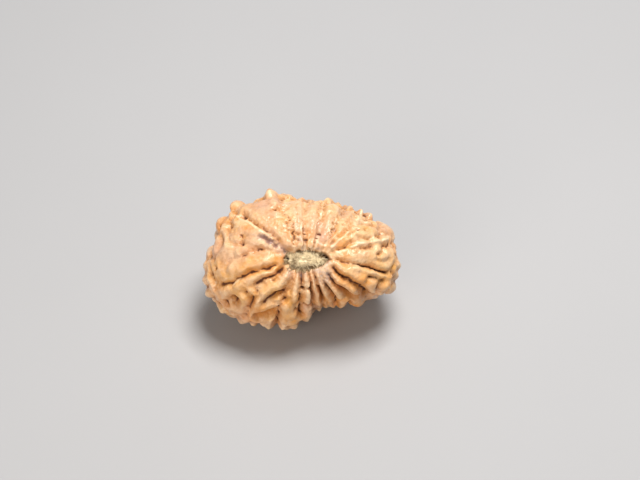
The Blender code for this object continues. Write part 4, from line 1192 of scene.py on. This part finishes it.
def cube_ball(cuts):
    """A divided cube, with its points' azimuths and falls on a ball, finest on the scar's side."""
    shape = bmesh.new()
    bmesh.ops.create_cube(shape, size=2.0)
    bmesh.ops.subdivide_edges(shape, edges=shape.edges[:], cuts=cuts, use_grid_fill=True)
    mesh = mesh_of(shape, "ball")
    points = np.tan(read_points(mesh) * math.pi / 4)
    points /= np.linalg.norm(points, axis=1)[:, None]
    azimuth = np.arctan2(points[:, 1], points[:, 0])
    fall = 2.0 * np.arctan(np.tan(np.arccos(np.clip(points[:, 2], -1.0, 1.0)) / 2) / SCAR_SIDE_FINENESS)
    return mesh, azimuth, fall


def neighbour_blur(mesh, values, times):
    """Each point's values, averaged with its neighbours' this many times."""
    pairs = np.empty(len(mesh.edges) * 2, dtype=np.int32)
    mesh.edges.foreach_get("vertices", pairs)
    first, second = pairs[0::2], pairs[1::2]
    count = len(mesh.vertices)
    share = np.bincount(first, minlength=count) + np.bincount(second, minlength=count)
    values = np.array(values, float).reshape(count, -1)
    for _ in range(times):
        for axis in range(values.shape[1]):
            column = values[:, axis]
            total = np.bincount(first, column[second], count) + np.bincount(second, column[first], count)
            values[:, axis] = 0.5 * column + 0.5 * total / share
    return values


def hollowness(mesh, points, times):
    """How far each point lies under the mean of those round it, in millimetres. Crests are negative."""
    return np.einsum("ij,ij->i", read_normals(mesh), neighbour_blur(mesh, points, times) - points)


def write_mask(mesh, name, values):
    attribute = mesh.attributes.new(name, "FLOAT", "POINT")
    attribute.data.foreach_set("value", np.asarray(values, np.float32))


def level_seat(mesh):
    """Cuts the mesh off flat at the floor and closes it there."""
    shape = bmesh.new()
    shape.from_mesh(mesh)
    everything = shape.verts[:] + shape.edges[:] + shape.faces[:]
    cut = bmesh.ops.bisect_plane(
        shape, geom=everything, dist=1e-7, plane_co=(0, 0, 0), plane_no=(0, 0, -1), clear_outer=True
    )
    rim = [part for part in cut["geom_cut"] if isinstance(part, bmesh.types.BMEdge)]
    bmesh.ops.edgeloop_fill(shape, edges=rim)
    bmesh.ops.recalc_face_normals(shape, faces=shape.faces[:])
    for face in shape.faces:
        face.smooth = True
    shape.to_mesh(mesh)
    shape.free()


def finished(name, mesh, material, body):
    """Makes a mesh in metres a piece that rides on a body and takes its finish from a slot."""
    mesh.materials.append(material)
    made = new_object(name, mesh)
    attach(made, body)
    return made


def feed(tree, socket, value):
    """Links a value that is a socket, and sets any other."""
    if isinstance(value, bpy.types.NodeSocket):
        tree.links.new(value, socket)
    else:
        socket.default_value = value


def attribute_node(tree, name):
    node = tree.nodes.new("ShaderNodeAttribute")
    node.attribute_name = name
    return node


def mask(tree, name):
    return attribute_node(tree, name).outputs["Fac"]


def streak_place(tree):
    """The mesh's own coordinates, in which streaks along the folds are drawn out."""
    return attribute_node(tree, "streak").outputs["Vector"]


def noise(tree, place, scale, detail, rough):
    node = tree.nodes.new("ShaderNodeTexNoise")
    for name, value in (("Vector", place), ("Scale", scale), ("Detail", detail), ("Roughness", rough)):
        feed(tree, node.inputs[name], value)
    return node.outputs["Fac"]


def between(tree, value, low, high, to_low=0.0, to_high=1.0):
    """Maps the range from low to high onto another one, without leaving it."""
    node = tree.nodes.new("ShaderNodeMapRange")
    node.interpolation_type = "SMOOTHSTEP"
    tree.links.new(value, node.inputs[0])
    for index, number in zip((1, 2, 3, 4), (low, high, to_low, to_high)):
        node.inputs[index].default_value = number
    return node.outputs[0]


def arithmetic(tree, kind, first, second, clamp=True):
    node = tree.nodes.new("ShaderNodeMath")
    node.operation = kind
    node.use_clamp = clamp
    feed(tree, node.inputs[0], first)
    feed(tree, node.inputs[1], second)
    return node.outputs[0]


def weakened(tree, value, share):
    return arithmetic(tree, "MULTIPLY", value, share)


def patchy(tree, name, clouds, low, high=1.0):
    """The mask of this name, weakened by clouds to shares of itself from low to high."""
    return arithmetic(tree, "MULTIPLY", mask(tree, name), between(tree, clouds, 0.0, 1.0, low, high))


def layered(tree, colour, layers):
    """A colour with others laid over it in order. Each layer is an amount and a colour."""
    base = (*colour, 1.0)
    for amount, over in layers:
        node = tree.nodes.new("ShaderNodeMix")
        node.data_type = "RGBA"
        feed(tree, node.inputs[0], amount)
        feed(tree, node.inputs[6], base)
        feed(tree, node.inputs[7], (*over, 1.0))
        base = node.outputs[2]
    return base


def new_material(name):
    made = bpy.data.materials.new(name)
    made.use_nodes = True
    return made, made.node_tree, made.node_tree.nodes["Principled BSDF"]


def mottle_group():
    """A group that gives a cloudy mask and fine bumps, at a fineness that each material sets."""
    found = bpy.data.node_groups.get("woody_mottle")
    if found:
        return found
    group = bpy.data.node_groups.new("woody_mottle", "ShaderNodeTree")
    group.interface.new_socket(name="Fineness", in_out="INPUT", socket_type="NodeSocketFloat")
    group.interface.new_socket(name="Clouds", in_out="OUTPUT", socket_type="NodeSocketFloat")
    group.interface.new_socket(name="Bumps", in_out="OUTPUT", socket_type="NodeSocketFloat")
    entry = group.nodes.new("NodeGroupInput")
    leave = group.nodes.new("NodeGroupOutput")
    place = group.nodes.new("ShaderNodeTexCoord").outputs["Object"]
    fineness = entry.outputs["Fineness"]
    finer = arithmetic(group, "MULTIPLY", fineness, BUMP_FINENESS, clamp=False)
    clouds = between(group, noise(group, place, fineness, 4.0, 0.55), 0.35, 0.68)
    group.links.new(clouds, leave.inputs["Clouds"])
    group.links.new(noise(group, place, finer, 4.0, 0.6), leave.inputs["Bumps"])
    return group


def mottle(tree, fineness):
    node = tree.nodes.new("ShaderNodeGroup")
    node.node_tree = mottle_group()
    node.inputs["Fineness"].default_value = fineness
    return node.outputs["Clouds"], node.outputs["Bumps"]


def bump(tree, shader, height, distance, strength):
    node = tree.nodes.new("ShaderNodeBump")
    for name, value in (("Height", height), ("Distance", distance), ("Strength", strength)):
        feed(tree, node.inputs[name], value)
    tree.links.new(node.outputs["Normal"], shader.inputs["Normal"])


def stone_colour(tree, settings, wide, close, rosy, grains):
    """The skin's colour from its clouds, specks, painted shade and painted highlight, and how much painted
    crevice shade lies on each point.
    """
    streak = noise(tree, streak_place(tree), 2.2, 3.0, 0.55)
    browner = arithmetic(tree, "ADD", weakened(tree, mask(tree, "flank_shade"), 0.35), 0.14)
    # The painted crevice shade, broken a little by clouds
    edge = arithmetic(tree, "ADD", mask(tree, "crevice_shade"), weakened(tree, close, 0.12))
    deep = between(tree, edge, 0.08, 0.9)
    layers = (
        # Painted highlight on the crests
        (patchy(tree, "crest", wide, 0.55), settings.crest),
        (weakened(tree, wide, 0.45), settings.golden),
        (weakened(tree, between(tree, streak, 0.5, 0.68), 0.3), settings.crest),
        (weakened(tree, between(tree, streak, 0.5, 0.34), 0.35), settings.flank_shade),
        # Painted shade low on the fold sides
        (patchy(tree, "flank_shade", close, 0.65), settings.flank_shade),
        # Brown specks in the crevice shade colour, stronger where the flank shade is painted
        (arithmetic(tree, "MULTIPLY", between(tree, grains, 0.54, 0.64), browner), settings.crevice_shade),
        (weakened(tree, between(tree, grains, 0.46, 0.38), 0.3), settings.cream),
        (weakened(tree, between(tree, rosy, 0.6, 1.0), 0.4), settings.rose),
        (patchy(tree, "golden", close, 0.6), settings.golden),
        (patchy(tree, "orange", close, 0.5), settings.orange),
        (mask(tree, "rose"), settings.rose),
        # Pale seams, and pale spots that are partly painted highlight
        (patchy(tree, "seam", close, 0.4, 0.75), settings.cream),
        (mask(tree, "stain"), settings.stain),
        # Painted shade in crevices and in the slit, darkest at their bottoms
        (deep, settings.crevice_shade),
        (weakened(tree, between(tree, edge, 0.6, 1.1), 0.55), settings.core),
        (patchy(tree, "dust", close, 0.3), settings.dust),
    )
    return layered(tree, settings.body, layers), deep


def stone_material(settings):
    """Tan woody skin with painted highlight on crests, pale seams, painted shade in crevices and low on
    fold sides, and stains.
    """
    made, tree, shader = new_material("woody_stone_skin")
    wide, _ = mottle(tree, WIDE_MOTTLE)
    close, _ = mottle(tree, CLOSE_MOTTLE)
    _, grains = mottle(tree, SPECK_MOTTLE)
    rosy, lumps = mottle(tree, LUMP_MOTTLE)
    colour, deep = stone_colour(tree, settings, wide, close, rosy, grains)
    tree.links.new(colour, shader.inputs["Base Color"])
    dull = arithmetic(tree, "ADD", deep, weakened(tree, close, 0.25))
    tree.links.new(between(tree, dull, 0.0, 1.0, *STONE_DULLNESS), shader.inputs["Roughness"])
    shader.inputs["Specular IOR Level"].default_value = STONE_SHEEN
    height = arithmetic(tree, "ADD", weakened(tree, lumps, 0.85), weakened(tree, grains, 0.15))
    bump(tree, shader, height, *STONE_BUMP)
    return made


def pith_material(settings):
    """Dry straw-coloured fibre, with painted shade deep in the mat's hollows and brown tone on some fibres
    and crumbs.
    """
    made, tree, shader = new_material("dry_pith_fibre")
    clouds, bumps = mottle(tree, PITH_MOTTLE)
    straw = [0.62 * channel for channel in settings.pale]
    layers = ((weakened(tree, clouds, 0.45), straw), (mask(tree, "depth"), settings.dark))
    tree.links.new(layered(tree, settings.pale, layers), shader.inputs["Base Color"])
    shader.inputs["Roughness"].default_value = FIBRE_DULLNESS
    shader.inputs["Specular IOR Level"].default_value = FIBRE_SHEEN
    bump(tree, shader, bumps, *FIBRE_BUMP)
    return made


def floor_material(colour):
    """Matte floor with faint clouds."""
    made, tree, shader = new_material("plain_floor")
    clouds, _ = mottle(tree, FLOOR_MOTTLE)
    darker = [0.94 * channel for channel in colour]
    layers = ((weakened(tree, clouds, 0.25), darker),)
    tree.links.new(layered(tree, colour, layers), shader.inputs["Base Color"])
    shader.inputs["Roughness"].default_value = FLOOR_DULLNESS
    return made


def plug_mesh(seat):
    """The mat of the pith, in metres: a rough plug with hollows between its strands."""
    shape = bmesh.new()
    bmesh.ops.create_icosphere(shape, subdivisions=6, radius=1.0)
    mesh = mesh_of(shape, "pith_mat")
    unit = read_points(mesh)
    plug = unit * PITH_HALF_SIZE + PITH_CENTRE
    strands = ripple(plug * (0.35, 1.0, 0.6), PITH_STRAND_SCALE, SEED + 11)
    crumbs = ripple(plug, PITH_CRUMB_SCALE, SEED + 12)
    fluff = ripple(plug, 0.35, SEED + 13)
    rough = (0.6 * np.abs(strands) + 0.4 * np.abs(crumbs) - 0.6) * PITH_ROUGHNESS * 1.6 + 0.06 * fluff
    move_points(mesh, plug + unit * rough[:, None])
    inner = 1.0 - 0.6 * smooth_step(0.9, 0.2, np.hypot(unit[:, 0], unit[:, 1]))
    # Painted shade, darker in the mat's hollows between strands and less in its middle
    write_mask(mesh, "depth", smooth_step(0.02, -0.16, rough) * 0.9 * inner)
    move_points(mesh, (laid_down(read_points(mesh)) - seat) * MM)
    mesh.shade_smooth()
    return mesh


def fibre_shape():
    """One straight fibre, round and tapered, 1 long along z, cut into five lengths."""
    shape = bmesh.new()
    bmesh.ops.create_cone(shape, cap_ends=True, segments=5, radius1=1.0, radius2=0.45, depth=1.0)
    long_edges = [edge for edge in shape.edges if abs(edge.verts[0].co.z - edge.verts[1].co.z) > 0.5]
    bmesh.ops.subdivide_edges(shape, edges=long_edges, cuts=4)
    return shape


def crumb_shape():
    """One round crumb of unit radius."""
    shape = bmesh.new()
    bmesh.ops.create_icosphere(shape, subdivisions=1, radius=1.0)
    return shape


def copies(shape, count, name):
    """A mesh that holds one shape this many times, and the points of one."""
    one = bpy.data.meshes.new(name + "_one")
    shape.to_mesh(one)
    shape.clear()
    for _ in range(count):
        shape.from_mesh(one)
    return mesh_of(shape, name), read_points(one)


def bent_fibre(straight, start, heading, bend, length, radius):
    """The fibre's points, bent along a curve that leaves start with this heading."""
    share = straight[:, 2:3] + 0.5
    path = start + heading * (share * length) + bend * (share**2 * length)
    along = heading + 2.0 * bend * share
    along /= np.linalg.norm(along, axis=1)[:, None]
    side = np.cross(along, (0.3, 0.2, 0.93))
    side /= np.linalg.norm(side, axis=1)[:, None]
    over = np.cross(along, side)
    return path + radius * (straight[:, 0:1] * side + straight[:, 1:2] * over)


def pith_place(rng, low, high):
    """A place on the pith's top, off its dark gaps, and how far out it is, from 0 to 1."""
    while True:
        turn, reach = rng.uniform(-math.pi, math.pi), math.sqrt(rng.uniform(0, 1))
        x, y = reach * math.cos(turn), reach * math.sin(turn)
        top = math.sqrt(1.0 - 0.6 * reach**2)
        place = PITH_CENTRE + np.array([x, y, top]) * PITH_HALF_SIZE * MAT_SPREAD
        if all(math.hypot(place[0] - gap[0], place[1] - gap[1]) > gap[2] for gap in PITH_GAPS):
            place[2] += rng.uniform(low, high)
            return place, reach


def pith_shade(rng, place, reach):
    """How brown a fibre or a crumb is. Brown ones lie in clumps and near the slit's edge."""
    clump = ripple(place[None, :], 1.1, SEED + 41)[0]
    edge = 0.5 * smooth_step(0.55, 1.0, np.array(reach))
    return float(np.clip(0.38 * clump + edge + rng.normal(0.0, 0.18), 0.0, 0.95))


def loose_piece(name, mesh, points, shades, seat, look):
    """Makes many placed copies a piece of the pith."""
    move_points(mesh, (laid_down(np.concatenate(points)) - seat) * MM)
    write_mask(mesh, "depth", np.concatenate(shades))
    mesh.shade_smooth()
    finished(name, mesh, look, "root")


def loose_fibres(settings, seat, look):
    """Loose curled fibres that lie on the mat and stick out of it."""
    rng = np.random.default_rng(SEED + 40)
    mesh, straight = copies(fibre_shape(), settings.fibres, "pith_loose_fibres")
    points, shades = [], []
    for _ in range(settings.fibres):
        start, reach = pith_place(rng, -0.2, 0.08)
        angle = rng.normal(0, 0.9)
        heading = np.array([math.cos(angle), math.sin(angle), rng.normal(0.0, 0.2)])
        heading *= rng.choice((-1, 1))
        bend = rng.normal(0, 1.0, 3) * (1, 1, 0.5)
        length = rng.uniform(*FIBRE_LENGTHS)
        shades.append(np.full(len(straight), pith_shade(rng, start, reach)))
        start -= (heading + 0.5 * bend) * length / 2
        radius = settings.thickness * rng.uniform(0.5, 1.6)
        points.append(bent_fibre(straight, start, heading, bend, length, radius))
    loose_piece("pith_loose_fibres", mesh, points, shades, seat, look)


def lip_surface(places, fullness):
    """Points on the stone's skin under places near the slit."""
    form = face_points(places)
    rise, _ = relief(form, fullness)
    form[:, 2] = np.maximum(form[:, 2] + rise, LIP_LOWEST)
    return form


def torn_fibres(settings, seat, look):
    """Brown fibres that lie on the slit's lips, across its edge."""
    rng = np.random.default_rng(SEED + 43)
    mesh, straight = copies(fibre_shape(), settings.torn, "pith_torn_fibres")
    table = np.array(LIP_PLACES)
    chosen = table[rng.choice(len(table), settings.torn, p=table[:, 3] / table[:, 3].sum())]
    middles = chosen[:, :2] + rng.normal(0, 1, (settings.torn, 2)) * chosen[:, 2:3] * (1.0, 0.6)
    angles = rng.normal(math.pi / 2, 0.8, settings.torn)
    across = np.stack([np.cos(angles), np.sin(angles)], axis=-1)
    halves = across * rng.uniform(*TORN_HALVES, (settings.torn, 1))
    fullness = bpy.context.scene.seed_stone.fullness
    starts = lip_surface(middles - halves, fullness)
    ways = lip_surface(middles + halves, fullness) - starts
    points, shades = [], []
    for start, way in zip(starts, ways):
        length = np.linalg.norm(way)
        bend = rng.normal(0, 0.3, 3) * (1, 1, 0.2)
        radius = settings.thickness * rng.uniform(0.6, 1.3)
        points.append(bent_fibre(straight, start, way / length - 0.5 * bend, bend, length, radius))
        shades.append(np.full(len(straight), rng.uniform(0.45, 1.0)))
    loose_piece("pith_torn_fibres", mesh, points, shades, seat, look)


def loose_crumbs(settings, seat, look):
    """Crumbs of broken fibre between the loose fibres."""
    rng = np.random.default_rng(SEED + 42)
    mesh, round_one = copies(crumb_shape(), settings.crumbs, "pith_crumbs")
    points, shades = [], []
    for _ in range(settings.crumbs):
        place, reach = pith_place(rng, -0.15, 0.03)
        size = rng.uniform(*CRUMB_RADII) * rng.uniform(0.6, 1.3, 3)
        uneven = 1.0 + rng.normal(0, 0.18, (len(round_one), 1))
        points.append(place + round_one * uneven * size)
        shades.append(np.full(len(round_one), pith_shade(rng, place, reach)))
    loose_piece("pith_crumbs", mesh, points, shades, seat, look)


def write_depth_masks(mesh, points, form, slit, groove):
    """Writes the painted shade where the skin is hollow or low, and the painted highlight on crests."""
    near, far = hollowness(mesh, points, NEAR_SMOOTHING), hollowness(mesh, points, FAR_SMOOTHING)
    # Painted shade in the hollows between folds and in the slit
    crevice_shade = smooth_step(0.05, 0.85, far) + 0.7 * smooth_step(0.02, 0.22, near)
    crevice_shade = np.maximum(crevice_shade, 0.8 * smooth_step(0.6, 2.2, slit))
    write_mask(mesh, "crevice_shade", np.clip(crevice_shade, 0.0, 1.0))
    # Painted shade low on the fold sides, beside the seams' grooves and at the shade places
    shade = np.maximum(hump(form, SHADE_PLACES), smooth_step(0.05, 0.3, groove))
    write_mask(mesh, "flank_shade", np.maximum(smooth_step(-0.2, 0.35, far + 0.7 * near), shade))
    # Painted highlight on convex crests and at the highlight places
    write_mask(mesh, "crest", np.maximum(smooth_step(0.05, -0.45, far), hump(form, HIGHLIGHT_PLACES)))


def write_colour_masks(mesh, form, grain):
    """Writes the coloured places, listed on the scar's side and strewn by rule behind it."""
    hidden = 1.0 - smooth_step(-3.0, 1.0, form[:, 2])
    strewn = smooth_step(0.6, 1.9, ripple(form, 6.0, SEED + 23)) * hidden
    write_mask(mesh, "orange", np.maximum(hump(form, ORANGE_PLACES), strewn))
    write_mask(mesh, "golden", np.maximum(hump(form, GOLDEN_PLACES), strewn))
    strewn = smooth_step(0.8, 1.9, ripple(form, 6.0, SEED + 24)) * hidden
    write_mask(mesh, "rose", np.maximum(hump(form, ROSE_PLACES), 0.6 * strewn))
    purple = line_mask(form + PIT_UNEVENNESS * grain[:, None], PURPLE_LINE, PURPLE_WIDTH)
    write_mask(mesh, "stain", 0.95 * purple * smooth_step(-1.8, 0.3, ripple(form, 1.2, SEED + 25)))
    write_mask(mesh, "dust", hump(form, DUST_PLACES))


def stone_surface(settings):
    """The stone's mesh in its own axes, in millimetres, with its masks, and the middle of its seat."""
    mesh, azimuth, fall = cube_ball(STONE_CUTS)
    form = form_points(azimuth, fall)
    move_points(mesh, form)
    rise, slit = relief(form, settings.fullness)
    raised = form + read_normals(mesh) * rise[:, None]
    seat = seat_place(raised)
    points = neighbour_blur(mesh, raised, RELIEF_SMOOTHING)
    move_points(mesh, points)
    seams, pale, groove = seam_rise(form)
    open_skin = np.clip(1.0 - slit / SKIN_FADE, 0.0, 1.0)
    streaked = streak_points(form)
    grain = 0.5 * ripple(streaked, 0.9, SEED + 20) + 0.5 * ripple(form, 1.0, SEED + 27)
    grain += 0.6 * ripple(form, 0.5, SEED + 21)
    cuts = np.maximum(small_pits(form, np.random.default_rng(SEED + 22)), broken_cuts(form))
    rise = open_skin * (seams + settings.grain_rise * grain - cuts)
    points = neighbour_blur(mesh, points + read_normals(mesh) * rise[:, None], SKIN_SMOOTHING)
    move_points(mesh, points)
    write_depth_masks(mesh, points, form, slit, groove)
    # Pale seams, and pale spots that are partly painted highlight
    write_mask(mesh, "seam", np.maximum(pale, hump(form, PALE_AND_HIGHLIGHT_SPOTS)) * open_skin)
    write_colour_masks(mesh, form, grain)
    streaks = mesh.attributes.new("streak", "FLOAT_VECTOR", "POINT")
    streaks.data.foreach_set("vector", streaked.astype(np.float32).ravel())
    return mesh, seat


def add_light(name, place, size, power, colour):
    """An area light that looks at the middle of the seed."""
    data = bpy.data.lights.new(name, "AREA")
    data.size = size
    data.energy = power
    data.color = colour
    made = new_object(name, data)
    made.location = place
    aim = Vector(LIGHT_AIM) - Vector(place)
    made.rotation_euler = aim.to_track_quat("-Z", "Y").to_euler()


def add_camera(settings, seat):
    """A camera that looks along +Y and down, with the scar where the photograph has it."""
    data = bpy.data.cameras.new("camera")
    data.lens = settings.lens
    data.sensor_width = 36.0
    data.clip_start = 0.01
    data.clip_end = 10.0
    made = new_object("camera", data)
    scar = Vector((laid_down(np.array([[0.0, 0.0, FRONT_DEPTH]]))[0] - seat) * MM)
    back = Vector((0.0, -math.cos(settings.rise), math.sin(settings.rise)))
    up = Vector((0.0, math.sin(settings.rise), math.cos(settings.rise)))
    aim = scar + Vector((SCAR_FROM_MIDDLE[0] * MM, 0.0, 0.0)) + up * (SCAR_FROM_MIDDLE[1] * MM)
    made.location = aim + back * settings.distance
    made.rotation_euler = back.to_track_quat("Z", "Y").to_euler()
    bpy.context.scene.camera = made


class SEED_OT_stone(bpy.types.Operator):
    """Build the stone in fine relief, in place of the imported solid"""

    bl_idname = "seed.build_stone"
    bl_label = "Stone"

    def execute(self, context):
        settings = context.scene.seed_stone
        mesh, seat = stone_surface(settings)
        context.scene["seed_seat"] = seat.tolist()
        move_points(mesh, (laid_down(read_points(mesh)) - seat) * MM)
        level_seat(mesh)
        made = finished("stone_fine", mesh, stone_material(settings), "root")
        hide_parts("rudraksha_seed")
        return {"FINISHED"}


class SEED_OT_pith(bpy.types.Operator):
    """Build the mat of pith with its fibres and crumbs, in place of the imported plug"""

    bl_idname = "seed.build_pith"
    bl_label = "Pith"

    def execute(self, context):
        settings = context.scene.seed_pith
        seat = np.array(context.scene["seed_seat"])
        look = pith_material(settings)
        mat = finished("pith_mat", plug_mesh(seat), look, "root")
        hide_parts("pith_fibres")
        loose_fibres(settings, seat, look)
        loose_crumbs(settings, seat, look)
        torn_fibres(settings, seat, look)
        return {"FINISHED"}


class SEED_OT_stage(bpy.types.Operator):
    """Lay a plain floor, and set the light and the camera"""

    bl_idname = "seed.build_stage"
    bl_label = "Stage"

    def execute(self, context):
        settings = context.scene.seed_stage
        shape = bmesh.new()
        bmesh.ops.create_grid(shape, x_segments=2, y_segments=2, size=FLOOR_REACH)
        mesh = mesh_of(shape, "floor")
        mesh.materials.append(floor_material(settings.floor))
        floor = new_object("floor", mesh)
        add_light("key", KEY_PLACE, KEY_SIZE, settings.key, KEY_COLOUR)
        add_light("fill", FILL_PLACE, FILL_SIZE, FILL_SHARE * settings.key, FILL_COLOUR)
        world = bpy.data.worlds.new("studio")
        world.use_nodes = True
        sky = world.node_tree.nodes["Background"]
        sky.inputs["Color"].default_value = SKY_COLOUR
        sky.inputs["Strength"].default_value = settings.sky
        context.scene.world = world
        context.scene.view_settings.view_transform = "Standard"
        add_camera(settings, np.array(context.scene["seed_seat"]))
        return {"FINISHED"}


class SEED_PT_panel(bpy.types.Panel):
    """Lists the pieces and their settings in the sidebar"""

    bl_idname = "SEED_PT_panel"
    bl_label = "Rudraksha Seed"
    bl_space_type = "VIEW_3D"
    bl_region_type = "UI"
    bl_category = "Seed"

    def draw(self, context):
        scene = context.scene
        groups = (
            (SEED_OT_stone, scene.seed_stone),
            (SEED_OT_pith, scene.seed_pith),
            (SEED_OT_stage, scene.seed_stage),
        )
        for operator, settings in groups:
            box = self.layout.box()
            box.operator(operator.bl_idname)
            for name in type(settings).__annotations__:
                box.prop(settings, name)


CLASSES = (
    StoneSettings,
    PithSettings,
    StageSettings,
    SEED_OT_stone,
    SEED_OT_pith,
    SEED_OT_stage,
    SEED_PT_panel,
)


def register():
    for each in CLASSES:
        bpy.utils.register_class(each)
    bpy.types.Scene.seed_stone = bpy.props.PointerProperty(type=StoneSettings)
    bpy.types.Scene.seed_pith = bpy.props.PointerProperty(type=PithSettings)
    bpy.types.Scene.seed_stage = bpy.props.PointerProperty(type=StageSettings)


def unregister():
    del bpy.types.Scene.seed_stage
    del bpy.types.Scene.seed_pith
    del bpy.types.Scene.seed_stone
    for each in reversed(CLASSES):
        bpy.utils.unregister_class(each)


def main():
    register()
    bpy.ops.seed.build_stone()
    bpy.ops.seed.build_pith()
    bpy.ops.seed.build_stage()


if __name__ == "__main__":
    main()
